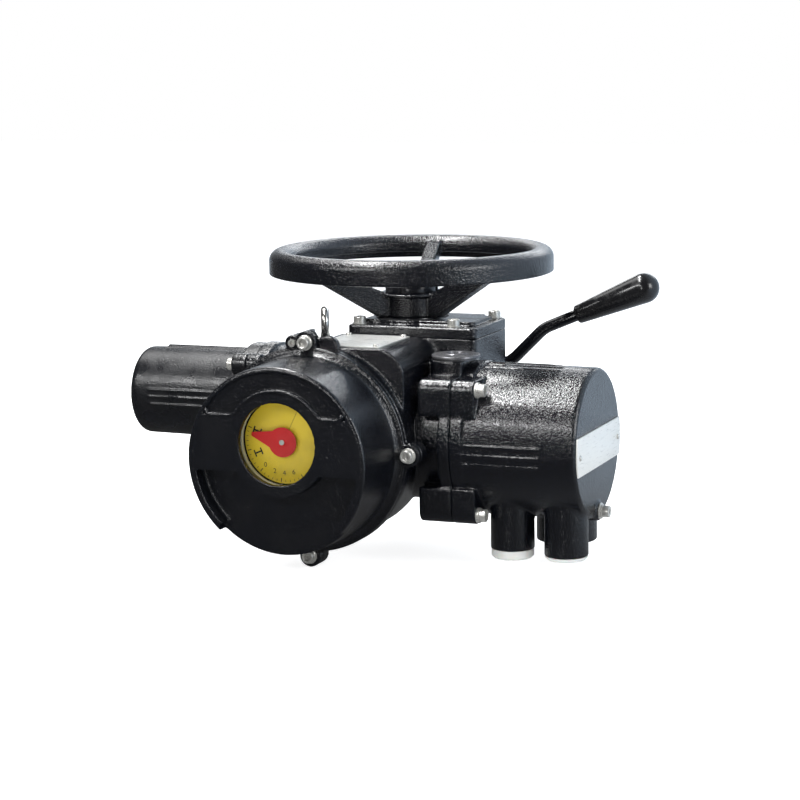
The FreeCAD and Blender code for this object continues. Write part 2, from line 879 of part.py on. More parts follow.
def make_worm():
    """The worm shaft with its single-start thread, from the motor's rear bearing to the right bearing."""
    tip_r = worm_pitch_r + gear_module
    root_r = worm_pitch_r - 1.25 * gear_module
    pitch = math.pi * gear_module
    flank = math.tan(math.radians(pressure_angle))
    half_pitch = (pitch / 2 - gear_backlash / 2) / 2
    half_root = half_pitch + flank * 1.35 * gear_module
    half_tip = half_pitch - flank * gear_module
    turns = 2 * round(worm_thread_long / pitch / 2)
    helix = Part.makeHelix(pitch, turns * pitch, worm_pitch_r)
    sunk = root_r - 0.2
    corners = [V(sunk, 0, -half_root), V(tip_r, 0, -half_tip), V(tip_r, 0, half_tip), V(sunk, 0, half_root)]
    profile = Part.makePolygon(corners + corners[:1])
    sweep = Part.BRepOffsetAPI.MakePipeShell(Part.Wire(helix.Edges))
    sweep.setFrenetMode(True)
    sweep.add(profile)
    sweep.build()
    sweep.makeSolid()
    thread = sweep.shape()
    thread.translate(V(0, 0, -turns * pitch / 2))
    core_half = worm_thread_long / 2 + 4
    core = disc(root_r, -core_half, core_half)
    threaded = core.fuse(thread)
    shaft_left = motor_end + motor_wall + bearing_wide + 3
    spring_end = spring_start + spring_count * spring_pitch
    shaft = joined([
        disc(spring_collar_r, spring_start - spring_collar_long, spring_start - spring_play),
        disc(spring_collar_r, spring_end + spring_play, spring_end + spring_collar_long),
        disc(worm_shaft_r, shaft_left, right_bearing_x + bearing_wide + 4),
        disc(worm_shaft_r - worm_nose_step, motor_end + motor_wall + 2, shaft_left + 1),
    ])
    return motor(threaded.fuse(shaft).removeSplitter())


def make_worm_bearings():
    """Ball bearings of the worm shaft, each as one closed ring."""
    rings = []
    for x in (left_bearing_x, right_bearing_x):
        rings.append(motor(tube(worm_shaft_r + running, bearing_r, x, x + bearing_wide)))
    return rings


def make_torque_springs():
    """The stack of disc springs on the worm shaft that senses the output torque."""
    discs = []
    for k in range(spring_count):
        tilt = spring_rise if k % 2 == 0 else -spring_rise
        base = spring_start + k * spring_pitch + max(0, -tilt)
        profile = [
            (worm_shaft_r, base),
            (worm_shaft_r, base + spring_thick),
            (spring_r, base + spring_thick + tilt),
            (spring_r, base + tilt),
        ]
        discs.append(motor(turned(profile)))
    return discs


def make_clutch_ring():
    """The sliding dog clutch between the worm wheel and the handwheel sleeve."""
    ring = tube(sleeve_top_r + running, clutch_out_r, clutch_low, clutch_top)
    middle = (clutch_low + clutch_top) / 2
    half = clutch_groove_high / 2
    ring = ring.cut(tube(clutch_out_r - clutch_groove_deep, clutch_out_r + 2, middle - half, middle + half))
    for turn in (0, 180):
        half_wide = clutch_key_wide / 2 + slip
        top_r = sleeve_top_r + clutch_key_proud + slip
        slot = block(-half_wide, half_wide, 0, top_r, clutch_low - 10, clutch_top + 10)
        slot.rotate(V(0, 0, 0), V(0, 0, 1), turn)
        ring = ring.cut(slot)
    turn = 180.0 / dog_count
    lower = dogs(wheel_top + free_gap, clutch_low + 1, turn)
    upper = dogs(clutch_top - 1, clutch_top + dog_high, 0)
    return joined([ring] + lower + upper)


def make_hand_sleeve():
    """The handwheel's sleeve: dogs below, bearing tube in the top plate, keyed spindle above."""
    step = sleeve_top + 0.5
    sleeve = joined([
        disc(dog_out_r + 1, hand_flange_low, hand_flange_top),
        disc(hand_tube_r, hand_flange_top - 1, hub_low),
        disc(hand_spindle_r, hub_low - 1, hub_low + hub_high + hub_nut_high + 1),
    ])
    sleeve = sleeve.cut(disc(sleeve_top_r + hand_bush_wall, hand_flange_low - 1, step))
    sleeve = sleeve.cut(disc(stem_bore_r + 0.2, step - 1, 300))
    turn = 180.0 / dog_count
    sleeve = joined([sleeve] + dogs(hand_dog_low, hand_flange_low + 1, turn))
    half = hub_key_wide / 2
    return sleeve.cut(block(-half, half, hand_spindle_r - hub_key_sunk, hub_r, hub_low, hub_low + hub_high))


def make_hand_bush():
    return tube(sleeve_top_r + running, sleeve_top_r + hand_bush_wall, hand_flange_low + 3, sleeve_top - 1)


def make_top_bush():
    return tube(hand_tube_r + running, hand_tube_r + top_bush_wall, top_bush_low, top_seal_low)


def make_hand_seal():
    """The wiper seal round the handwheel sleeve."""
    return tube(hand_tube_r + running, hand_tube_r + top_bush_wall + 2, top_seal_low, boss_top)


def make_handwheel():
    """The cast handwheel: a channel rim, three dished spokes and a lipped hub."""
    inner = wheel_r - wheel_rim_wide
    low = wheel_rim_low
    top = low + wheel_rim_high
    lift = rim_inner_lift
    crown = wheel_r - rim_crown
    outer_top = top - rim_outer_drop
    inner_top = top - rim_inner_drop
    edges = [
        Part.LineSegment(V(wheel_r, 0, low), V(wheel_r, 0, outer_top)),
        Part.Arc(V(wheel_r, 0, outer_top), V(wheel_r - 4.2, 0, top - 2.8), V(crown, 0, top)),
        Part.Arc(V(crown, 0, top), V(inner + 3.6, 0, top - 3.6), V(inner, 0, inner_top)),
    ]
    under = [
        V(inner, 0, inner_top), V(inner, 0, low + lift), V(inner + rim_wall, 0, low + lift),
        V(inner + rim_wall + 1, 0, top - rim_skin - 2), V(wheel_r - rim_wall - 1, 0, top - rim_skin),
        V(wheel_r - rim_wall, 0, low), V(wheel_r, 0, low),
    ]
    edges += [Part.LineSegment(a, b) for a, b in zip(under, under[1:])]
    rim = Part.Face(Part.Wire([e.toShape() for e in edges])).revolve(V(0, 0, 0), V(0, 0, 1), 360)
    hub_top = hub_low + hub_high
    hub = joined([disc(hub_r, hub_low, hub_top), disc(hub_lip_r, hub_top - hub_lip_thick, hub_top)])
    tip = inner + rim_wall / 2
    side = [
        V(0, 0, hub_low), V(hub_r + spoke_foot, 0, hub_low), V(tip, 0, low + lift),
        V(tip, 0, low + lift + spoke_high), V(hub_r, 0, hub_top), V(0, 0, hub_top),
    ]
    web = Part.Face(Part.makePolygon(side + side[:1]))
    web.translate(V(0, -spoke_wide / 2, 0))
    web = web.extrude(V(0, spoke_wide, 0))
    spokes = []
    for k in range(3):
        copy = web.copy()
        copy.rotate(V(0, 0, 0), V(0, 0, 1), spoke_first + 120 * k)
        spokes.append(copy)
    wheel = joined([rim, hub] + spokes)
    wheel = wheel.cut(disc(hand_spindle_r + running, hub_low - 1, hub_top + 1))
    half = hub_key_wide / 2
    return wheel.cut(block(-half, half, 0, hand_spindle_r + hub_key_sunk, hub_low - 1, hub_top + 1))


def make_hub_key():
    half = hub_key_wide / 2
    low_r = hand_spindle_r - hub_key_sunk
    return block(-half, half, low_r, hand_spindle_r + hub_key_proud, hub_low, hub_low + hub_high)


def make_hub_nut():
    """The slotted ring nut that clamps the handwheel's hub."""
    low = hub_low + hub_high
    nut = tube(hand_spindle_r, hub_nut_r, low, low + hub_nut_high)
    for t in QUARTER_TURNS:
        half = hub_slot_wide / 2
        slot = block(hub_nut_r - hub_slot_deep, hub_nut_r + 2, -half, half, low - 1, low + hub_nut_high + 1)
        slot.rotate(V(0, 0, 0), V(0, 0, 1), t)
        nut = nut.cut(slot)
    return nut


def make_stem_cap():
    """The plastic cap over the stem hole, plugged into the hand sleeve."""
    low = hub_low + hub_high + hub_nut_high + 1
    dome = disc(stem_cap_r, low, low + stem_cap_high)
    rim_edges = [e for e in dome.Edges if e.BoundBox.ZMin > low + stem_cap_high - 0.01]
    dome = dome.makeFillet(stem_cap_edge, rim_edges)
    return dome.fuse(disc(stem_bore_r, low - stem_cap_plug, low + 1)).removeSplitter()


def rib_bars(angles, r, start, long):
    """Raised bars with sloping sides and ends along local Z, on a cylinder of radius r."""
    bars = []
    half = rib_wide / 2
    slope = rib_slope
    for t in angles:
        bar = Part.makeWedge(
            r - rib_sunk, -half, start, start + slope, -half + slope,
            r + rib_high, half, start + long, start + long - slope, half - slope,
        )
        bar.rotate(V(0, 0, 0), V(0, 0, 1), t)
        bars.append(bar)
    return bars


def make_motor_housing():
    """The motor can, closed and rounded at its far end, with four ears and cast ribs."""
    can = Part.makeCone(motor_end_r, motor_r, motor_long, V(0, 0, motor_end))
    nose_edges = [e for e in can.Edges if e.BoundBox.ZMax < motor_end + 0.01]
    can = can.makeFillet(motor_nose_r, nose_edges)
    angles = [centre + motor_rib_step * k for centre in (184, 90) for k in (-1, 0, 1)]
    ribs = rib_bars(angles, motor_r - 1, motor_end + motor_rib_start, motor_rib_long)
    ears = [disc(motor_ear_r, ear_back, motor_joint_x, spot) for spot in motor_screw_spots]
    web = disc(motor_r + motor_web, ear_back, motor_joint_x)
    body = joined([can, web] + ears + ribs)
    inside_r = motor_r - motor_wall
    nose_floor = motor_end + motor_wall
    room = disc(inside_r, nose_floor + bearing_wide + 4, motor_joint_x + 1)
    pocket = disc(motor_bearing_r, nose_floor, nose_floor + bearing_wide + 5)
    wall = motor_register_wall
    register = tube(inside_r - wall, tunnel_bore_r - slip, motor_joint_x - 2, motor_joint_x + wall)
    body = body.cut(room).cut(pocket).fuse(register)
    for spot in motor_screw_spots:
        body = body.cut(disc(m8_r + slip, ear_back - 1, motor_joint_x + 1, spot))
    return motor(body.removeSplitter())


def make_motor_screws():
    return [motor(socket_screw(ear_back, motor_joint_x + motor_grip, s)) for s in motor_screw_spots]


def make_stator():
    return motor(tube(stator_in_r, motor_r - motor_wall, stator_left, stator_right))


def make_windings():
    """The copper end turns at both ends of the stator."""
    in_r = stator_in_r + winding_gap
    out_r = motor_r - motor_wall - winding_thin
    left = tube(in_r, out_r, stator_left - winding_long, stator_left)
    right = tube(in_r, out_r, stator_right, stator_right + winding_long)
    return [motor(left), motor(right)]


def make_rotor():
    return motor(tube(worm_shaft_r, stator_in_r - rotor_gap, stator_left, stator_right))


def make_motor_bearing():
    low = motor_end + motor_wall
    return motor(tube(worm_shaft_r - worm_nose_step + running, motor_bearing_r, low, low + bearing_wide))


def bell(root_r, face_r, low, high):
    """A drum that tapers to a face set a little off the cover's axis, towards the motor."""
    root = Part.Wire(Part.makeCircle(root_r, V(0, 0, low)))
    face = Part.Wire(Part.makeCircle(face_r, V(face_shift, 0, high)))
    return Part.makeLoft([root, face], True, True)


def make_control_cover():
    """The bell-shaped front cover, with the window hump, the raised band and its two pockets."""
    root_r = cover_root_r + cover_root_high
    rim = turned([
        (0, cover_joint),
        (cover_flange_r, cover_joint),
        (cover_flange_r, cover_seat - cover_flange_edge),
        (cover_flange_r - cover_flange_edge, cover_seat),
        (root_r, cover_seat),
        (cover_root_r, cover_seat + cover_root_high),
        (0, cover_seat + cover_root_high),
    ])
    drum = bell(cover_root_r, cover_face_r, cover_joint + 1, cover_face)
    edge = [e for e in drum.Edges if e.BoundBox.ZMin > cover_face - 0.01]
    drum = drum.makeFillet(cover_edge_r, edge)
    outer = joined([drum, rim] + cover_lug_shapes(cover_joint, cover_seat))

    hump = disc(window_hump_r, 0, cover_face + 1, (0, window_up))
    high_side = block(-200, 200, band_top, 200, 0, cover_face + 1)
    crescent = disc(cover_face_r - upper_rim, cover_face - upper_pocket_deep, cover_face + 1, face_centre)
    crescent = crescent.common(high_side).cut(hump)
    pocket_floor = cover_face - lower_pocket_deep
    low_side = block(-200, 200, -200, band_bottom, 0, cover_face + 1)
    scoop = disc(cover_face_r - lower_rim, pocket_floor, cover_face + 1, face_centre).common(low_side)
    mouth_half = cover_face_r * math.sin(math.radians(45)) - mouth_inset
    mouth = block(-mouth_half, mouth_half, -200, lower_opening_up, pocket_floor, cover_face + 1)
    lower = scoop.fuse(mouth).cut(hump).removeSplitter()
    outer = outer.cut(crescent).cut(lower)

    inner_face = pocket_floor - cover_wall + 1
    hollow = bell(cover_root_r - cover_wall, cover_face_r - cover_wall, cover_joint - 1, inner_face)
    window_room = disc(window_r + glass_lap + slip, inner_face - 2, glass_front, (0, window_up))
    cover = outer.cut(hollow).cut(window_room)
    cover = cover.cut(disc(window_r, glass_front - 1, cover_face + 1, (0, window_up)))
    for spot in cover_screws:
        cover = cover.cut(disc(screw_pocket_r, cover_seat, cover_face + 1, spot))
        cover = cover.cut(disc(m8_r + slip, cover_joint - 1, cover_seat + 1, spot))
    cover = cover.cut(disc(jack_screw_r + jack_pocket, cover_seat, cover_face, jack_spot))
    cover = cover.cut(disc(jack_screw_r, cover_joint - 1, cover_seat + 1, jack_spot))
    return front(cover.removeSplitter())


def make_cover_screws():
    return [front(socket_screw(cover_seat, cover_joint - m8_grip, s)) for s in cover_screws]


def make_jack_screw():
    """The grub screw that pushes the cover off its joint."""
    top = cover_seat + jack_hex_r
    body = disc(jack_screw_r, cover_joint + slip, top, jack_spot)
    return front(body.cut(hexagon(jack_hex_r, top - 2 * jack_hex_r, top + 1, jack_spot)))


def make_window_glass():
    return front(disc(window_r + glass_lap, glass_front - glass_thick, glass_front, (0, window_up)))


def make_window_ring():
    """The ring that clamps the glass from inside."""
    high = glass_front - glass_thick
    in_r = dial_r + free_gap + dial_play
    return front(tube(in_r, window_r + glass_lap, high - window_ring_thick, high, (0, window_up)))


def make_dial():
    """The round indicator plate, with a hole for the pointer's spindle."""
    hole_r = spindle_r + 2 * free_gap
    return front(tube(hole_r, dial_r, dial_front - dial_thick, dial_front, (0, window_up)))


def make_pointer():
    """The red pointer: a disc with one tapering arm."""
    low = dial_front + pointer_lift
    high = low + pointer_thick
    plate = disc(pointer_disc_r, low, high)
    t = math.radians(pointer_angle)
    across = V(-math.sin(t), math.cos(t), 0)
    along = V(math.cos(t), math.sin(t), 0)
    root = V(0, 0, low) + along * pointer_root
    tip = V(0, 0, low) + along * pointer_reach
    points = [
        root + across * pointer_root_half,
        tip + across * pointer_tip_half,
        tip - across * pointer_tip_half,
        root - across * pointer_root_half,
    ]
    arm = Part.Face(Part.makePolygon(points + points[:1])).extrude(V(0, 0, pointer_thick))
    plate = plate.fuse(arm).removeSplitter().cut(disc(spindle_r, low - 1, high + 1))
    plate.translate(V(0, window_up, 0))
    return front(plate)


def make_pointer_spindle():
    """The pointer's spindle, with the small screw head that clamps the pointer."""
    top = dial_front + pointer_lift + pointer_thick
    spindle = disc(spindle_r, dial_front - spindle_long, top, (0, window_up))
    head = disc(spindle_r + 2 * free_gap, top, top + spindle_head, (0, window_up))
    return front(spindle.fuse(head).removeSplitter())


def make_backplate():
    """The plate that carries the control gear, on four posts in the housing."""
    plate = disc(backplate_r, backplate_front - backplate_thick, backplate_front)
    for t in DIAGONALS:
        spot = on_circle(backplate_post_pcr, t)
        plate = plate.cut(disc(plate_screw_r + slip, backplate_front - 10, backplate_front + 1, spot))
    return front(plate)


def make_backplate_screws():
    screws = []
    for t in DIAGONALS:
        spot = on_circle(backplate_post_pcr, t)
        top = backplate_front + plate_head_high
        head = disc(plate_head_r, backplate_front, top, spot)
        shank = disc(plate_screw_r, backplate_front - backplate_thick, backplate_front + 1, spot)
        socket = hexagon(plate_hex_r, top - plate_head_high / 2, top + 1, spot)
        screws.append(front(head.fuse(shank).cut(socket)))
    return screws


def make_indicator_unit():
    """The reduction gearbox behind the dial, with a bearing for the pointer's spindle."""
    low = backplate_front
    box_top = low + gearbox_deep
    table_top = dial_front - dial_thick
    table_low = table_top - dial_table_thick
    wide = gearbox_half_wide
    box = block(-wide, wide, window_up - gearbox_half_high, window_up + gearbox_half_high, low, box_top)
    neck = disc(gearbox_neck_r, box_top - 1, table_low + 1, (0, window_up))
    table = disc(dial_table_r, table_low, table_top, (0, window_up))
    bearing = disc(spindle_r + running, dial_front - spindle_long - 1, dial_front + 1, (0, window_up))
    return front(joined([box, neck, table]).cut(bearing))


def make_limit_switches():
    """The counter unit: a base with cam drums and two rows of switches."""
    low = backplate_front
    top = low + limit_deep
    base = block(limit_left, limit_right - 4, limit_low + 4, limit_high, low, top)
    spots = [(limit_left + drum_inset, y) for y in drum_heights]
    pieces = [base] + [disc(drum_r, top - 1, top + drum_proud, spot) for spot in spots]
    for k in range(4):
        y = switch_low + switch_pitch * k
        left = limit_left + switch_inset
        pieces.append(block(left, limit_right - 8, y, y + switch_wide, top - 1, top + switch_proud))
    return front(joined(pieces))


def make_torque_switches():
    """The torque unit: a cranked cam between two switches, with its setting dials."""
    low = backplate_front
    top = low + torque_deep
    pieces = [block(torque_left, torque_right, torque_low, limit_high, low, top)]
    for y in torque_dial_heights:
        spot = (torque_left + torque_dial_r + 1, y)
        pieces.append(disc(torque_dial_r, top - 1, top + torque_dial_r, spot))
    for k in range(2):
        y = switch_low + torque_switch_pitch * k
        right = torque_right - 3
        switch_top = top + torque_deep
        pieces.append(block(right - switch_wide, right, y, y + torque_switch_tall, top - 1, switch_top))
    return front(joined(pieces))


def make_control_board():
    """The circuit board below the switches, on its own spacers."""
    low = backplate_front
    base = low + board_lift
    top = base + board_thick
    x = board_half - spacer_inset
    corners = [(s * x, y) for s in (-1, 1) for y in (board_low + spacer_inset, board_high - spacer_inset)]
    middle = (board_low + board_high) / 2
    pieces = [block(-board_half, board_half, board_low, board_high, base, top)]
    pieces += [disc(spacer_r, low, base + 1, spot) for spot in corners]
    pieces.append(block(-44, -16, middle - 8, middle + 8, top - 1, top + 12))
    pieces.append(block(10, 30, middle - 10, middle + 10, top - 1, top + 16))
    pieces.append(disc(7, top - 1, top + 18, (0, middle)))
    return front(joined(pieces))


def make_joint_seals():
    """The rubber rings inside the cover joint and the terminal joint."""
    cover_r = neck_r - neck_wall
    term_seal_r = term_neck_r - case_wall
    return [
        front(tube(cover_r - seal_wide, cover_r, cover_joint - joint_seal_deep, cover_joint)),
        term(tube(term_seal_r - seal_wide, term_seal_r, term_joint - joint_seal_deep, term_joint)),
    ]


def make_term_cover():
    """The terminal cover: a closed cylinder with corner lugs, cast ribs and cable entries."""
    shell = Part.makeCone(term_r, term_end_r, term_end - term_joint, V(0, 0, term_joint))
    end_edges = [e for e in shell.Edges if e.BoundBox.ZMin > term_end - 0.01]
    shell = shell.makeChamfer(term_chamfer, end_edges)
    rim = disc(term_r + term_rim_proud, term_joint, term_joint + term_rim_thick)
    lugs = term_lugs(term_joint, term_joint + term_lug_thick)
    ribs = rib_bars([186 + rib_pitch * k for k in (-1, 0, 1)], term_r, rib_start, rib_long)
    ribs += rib_bars([98 + rib_pitch * k for k in (-1, 0, 1)], term_r, top_rib_start, rib_long)
    earth_boss = disc(earth_boss_r, term_end - earth_boss_long, earth_seat, earth_spot)
    body = term(joined([shell, rim, lugs, earth_boss] + ribs))
    skirt_top = term_z - skirt_down
    skirt = [disc(entry_r, bottom, skirt_top, (x, entry_front_y)) for x, bottom, _ in entries]
    skirt.append(disc(big_entry_r, big_entry_bottom, skirt_top, big_entry_at))
    body = joined([body] + skirt)
    room = term(disc(term_end_r - term_wall, term_joint - 1, term_end - term_wall - 1))
    kept_top = entry_bore_top - 1
    kept = [disc(entry_bore_r + entry_wall, b, kept_top, (x, entry_front_y)) for x, b, _ in entries]
    kept.append(disc(big_entry_bore_r + entry_wall, big_entry_bottom, big_entry_top - 1, big_entry_at))
    body = body.cut(room.cut(Part.makeCompound(kept)))
    for x, bottom, _ in entries:
        body = body.cut(disc(entry_bore_r, bottom - 1, entry_bore_top, (x, entry_front_y)))
    body = body.cut(disc(big_entry_bore_r, big_entry_bottom - 1, big_entry_top, big_entry_at))
    for spot in term_screw_spots:
        hole = disc(m8_r + slip, term_joint - 1, term_joint + term_lug_thick + 1, spot)
        body = body.cut(term(hole))
    return body.removeSplitter()


def make_term_screws():
    seat = term_joint + term_lug_thick + washer_thick
    return [term(socket_screw(seat, term_joint - m8_grip, s)) for s in term_screw_spots]


def make_term_washers():
    seat = term_joint + term_lug_thick
    return [term(tube(m8_r + slip, washer_r, seat, seat + washer_thick, s)) for s in term_screw_spots]


def make_entry_plugs():
    """White transit plugs in the two front cable entries."""
    plugs = []
    for x, bottom, proud in entries:
        spot = (x, entry_front_y)
        head = disc(entry_r - entry_plug_in, bottom - proud, bottom, spot)
        low_edges = [e for e in head.Edges if e.BoundBox.ZMax < bottom - proud + 0.01]
        head = head.makeChamfer(entry_plug_edge, low_edges)
        shank = disc(entry_bore_r, bottom - 1, bottom + entry_plug_long, spot)
        plugs.append(head.fuse(shank).removeSplitter())
    return plugs


def make_term_board():
    """The moulded terminal block, with barriers between its rows."""
    board_r = term_neck_r - case_wall - board_clear - free_gap
    base = disc(board_r, board_back, stud_seat)
    base = base.cut(block(board_side, board_r, -board_r, board_r, board_back - 1, stud_seat + 1))
    half = barrier_thick / 2
    top = stud_seat + barrier_high
    barriers = [block(-barrier_long, 0, y - half, y + half, stud_seat - 1, top) for y in barrier_heights]
    board = joined([base] + barriers).common(disc(board_r, board_back, top))
    for spot in stud_spots:
        board = board.cut(disc(stud_r, stud_seat - stud_deep, stud_seat + 1, spot))
    return term(board)


def make_term_studs():
    """The brass terminal studs, in rows between the barriers."""
    studs = []
    for spot in stud_spots:
        nut = hexagon(stud_nut_r, stud_seat, stud_seat + stud_nut_high, spot)
        studs.append(term(nut.fuse(disc(stud_r, stud_seat - stud_deep, stud_seat + stud_proud, spot))))
    return studs


def make_body_nameplate():
    """The blank aluminium plate on the flat shoulder of the casting."""
    top = pad_top + name_thick
    plate = rounded_block(name_left, name_right, name_front, name_back, pad_top, top, name_corner_r)
    return plate.cut(disc(eye_face_r, pad_top - 1, top + 1, (eye_x, eye_y)))


def make_term_nameplate():
    """The blank aluminium band across the terminal cover's end."""
    face_r = term_end_r - term_chamfer - term_name_inset
    top = term_end + term_name_thick
    low_edge = -term_name_high / 2 - term_name_down
    band = block(-face_r, face_r, low_edge, low_edge + term_name_high, term_end, top)
    return term(band.common(disc(face_r, term_end, top)))


def make_earth_screw():
    """The outside earth screw at the bottom of the terminal cover's end, with its two washers."""
    seat = earth_seat + 2 * washer_thick
    top = seat + earth_head_high
    head = disc(earth_head_r, seat, top, earth_spot)
    neck = disc(m8_r, earth_seat, seat + 1, earth_spot)
    socket = hexagon(earth_hex_r, top - earth_hex_deep, top + 1, earth_spot)
    pieces = [head.fuse(neck).cut(socket).removeSplitter()]
    for r in earth_washer_rs:
        pieces.append(tube(m8_r, r, seat - washer_thick, seat, earth_spot))
        seat -= washer_thick
    return [term(piece) for piece in pieces]


def make_oil_plug():
    """The screwed oil plug, with a collar and a socket in its top."""
    spot = (plug_x, plug_y)
    top = plug_boss_top + plug_collar_high
    collar_r = plug_boss_r - plug_collar_in
    collar = disc(collar_r, plug_boss_top, top - plug_collar_in, spot)
    crown = disc(plug_boss_r - plug_crown_in, plug_boss_top, top, spot)
    shank = disc(plug_thread_r, plug_boss_top - plug_thread_long, plug_boss_top + 1, spot)
    return joined([collar, crown, shank]).cut(hexagon(plug_hex_r, top - plug_hex_deep, top + 1, spot))


def make_eyebolt():
    """The lifting eye screwed into the top of the cover flange."""
    ring = Part.makeTorus(eye_ring_r, eye_wire_r, V(0, 0, 0), V(1, 0, 0))
    ring.rotate(V(0, 0, 0), V(0, 0, 1), eye_turn)
    ring.translate(V(eye_x, eye_y, eye_centre))
    collar = Part.makeCone(eye_collar_r, eye_neck_r, eye_collar_high, V(eye_x, eye_y, eye_seat))
    neck_top = eye_centre - eye_ring_r
    neck = disc(eye_neck_r, eye_seat + 1, neck_top, (eye_x, eye_y))
    shank = disc(m8_r, eye_seat - eye_grip, eye_seat + 1, (eye_x, eye_y))
    wide = 2 * eye_ring_r
    eye_cut = Part.makeCylinder(eye_ring_r - eye_wire_r, 2 * wide, V(-wide, 0, 0), V(1, 0, 0))
    eye_cut.rotate(V(0, 0, 0), V(0, 0, 1), eye_turn)
    eye_cut.translate(V(eye_x, eye_y, eye_centre))
    return joined([ring, collar, neck, shank]).cut(eye_cut)


def make_lever_bush():
    """The bush that carries the lever's shaft in the back wall."""
    inside = case_back - case_wall
    hole = lever_disc(lever_shaft_r + running, inside - 1, lever_boss_back + 1)
    return lever_disc(lever_shaft_r + running + lever_bush_wall, inside, lever_boss_back).cut(hole)


def make_lever_shaft():
    back_end = lever_plane_y + lever_hub_long / 2 + lever_end
    return lever_disc(lever_shaft_r, -fork_hub_long / 2 - lever_end, back_end)


def make_clutch_fork():
    """The fork that lifts the clutch ring, clamped on the lever's shaft."""
    middle = (clutch_low + clutch_top) / 2
    low = middle - fork_thick / 2
    high = middle + fork_thick / 2
    inner = clutch_out_r + fork_gap
    outer = inner + fork_arm
    half = fork_hub_long / 2
    yoke = block(-6, lever_x - 4, -outer, outer, low, high)
    yoke = yoke.cut(disc(inner, low - 1, high + 1)).cut(block(-7, 0, -inner, inner, low - 1, high + 1))
    hub = lever_disc(lever_shaft_r + fork_hub_wall, -half, half)
    neck = block(lever_x - 10, lever_x - 2, -fork_neck_half, fork_neck_half, lever_z, high)
    pins = []
    for side in (-1, 1):
        start = V(0, side * (inner + 1), middle)
        pins.append(Part.makeCylinder(fork_pin_r, fork_pin_long, start, V(0, -side, 0)))
    return joined([yoke, hub, neck] + pins).cut(lever_disc(lever_shaft_r, -outer - 1, outer + 1))


def bent_path(points, r):
    """A wire of straight runs joined by tangent arcs of radius r."""
    edges = []
    start = points[0]
    for before, corner, after in zip(points, points[1:], points[2:]):
        a = (before - corner).normalize()
        b = (after - corner).normalize()
        half = math.acos(max(-1, min(1, a.dot(b)))) / 2
        cut = r / math.tan(half)
        p = corner + a * cut
        q = corner + b * cut
        centre = corner + (a + b).normalize() * (r / math.sin(half))
        mid = centre + (corner - centre).normalize() * r
        edges.append(Part.LineSegment(start, p).toShape())
        edges.append(Part.Arc(p, mid, q).toShape())
        start = q
    edges.append(Part.LineSegment(start, points[-1]).toShape())
    return Part.Wire(edges)


def make_lever_rod():
    """The bent steel rod of the hand lever, with its hub on the shaft."""
    path = bent_path(lever_points, lever_bend_r)
    start = lever_points[0]
    run = (lever_points[1] - start).normalize()
    ring = Part.Wire(Part.makeCircle(rod_r, start, run))
    rod = path.makePipeShell([ring], True, False)
    hub_front = lever_plane_y - lever_hub_long / 2
    hub_back = lever_plane_y + lever_hub_long / 2
    hub = lever_disc(lever_hub_r, hub_front, hub_back)
    return joined([hub, rod]).cut(lever_disc(lever_shaft_r, hub_front - 1, hub_back + 1))


def make_lever_grip():
    """The tapered black grip with its ball end."""
    run = (lever_points[-1] - lever_points[-2]).normalize()
    ball_at = grip_long - grip_end_r
    grip = joined([
        Part.makeCone(grip_start_r - 1, grip_start_r, grip_edge),
        Part.makeCone(grip_start_r, grip_end_r - free_gap, ball_at - grip_edge, V(0, 0, grip_edge)),
        Part.makeSphere(grip_end_r, V(0, 0, ball_at)),
    ])
    tilt = math.degrees(math.atan2(run.x, run.z))
    grip.rotate(V(0, 0, 0), V(0, 1, 0), tilt)
    grip.translate(lever_points[-1])
    return grip


PIECES = {
    "main_housing": make_housing,
    "mounting_base": make_base,
    "base_screws": make_base_screws,
    "top_plate": make_top_plate,
    "top_plate_screws": make_top_plate_screws,
    "drive_sleeve": make_drive_sleeve,
    "clutch_keys": make_clutch_keys,
    "stem_bush": make_drive_bush,
    "lower_bush": make_lower_bush,
    "base_seal": make_base_seal,
    "worm_wheel": make_worm_wheel,
    "worm_shaft": make_worm,
    "worm_bearings": make_worm_bearings,
    "torque_springs": make_torque_springs,
    "clutch_ring": make_clutch_ring,
    "hand_sleeve": make_hand_sleeve,
    "hand_bush": make_hand_bush,
    "top_bush": make_top_bush,
    "hand_seal": make_hand_seal,
    "handwheel": make_handwheel,
    "hub_key": make_hub_key,
    "hub_nut": make_hub_nut,
    "stem_cap": make_stem_cap,
    "motor_housing": make_motor_housing,
    "motor_screws": make_motor_screws,
    "motor_stator": make_stator,
    "stator_windings": make_windings,
    "motor_rotor": make_rotor,
    "motor_bearing": make_motor_bearing,
    "control_cover": make_control_cover,
    "cover_screws": make_cover_screws,
    "cover_jack_screw": make_jack_screw,
    "joint_seals": make_joint_seals,
    "window_glass": make_window_glass,
    "window_ring": make_window_ring,
    "indicator_dial": make_dial,
    "pointer": make_pointer,
    "pointer_spindle": make_pointer_spindle,
    "control_backplate": make_backplate,
    "backplate_screws": make_backplate_screws,
    "indicator_unit": make_indicator_unit,
    "limit_switch_unit": make_limit_switches,
    "torque_switch_unit": make_torque_switches,
    "control_board": make_control_board,
    "terminal_cover": make_term_cover,
    "terminal_screws": make_term_screws,
    "terminal_washers": make_term_washers,
    "terminal_board": make_term_board,
    "terminal_studs": make_term_studs,
    "cable_entry_plugs": make_entry_plugs,
    "body_plate": make_body_nameplate,
    "lever_rod": make_lever_rod,
    "lever_grip": make_lever_grip,
    "lever_shaft": make_lever_shaft,
    "clutch_fork": make_clutch_fork,
    "lifting_eyebolt": make_eyebolt,
    "oil_plug": make_oil_plug,
    "lever_bush": make_lever_bush,
    "terminal_plate": make_term_nameplate,
    "earth_screw": make_earth_screw,
}

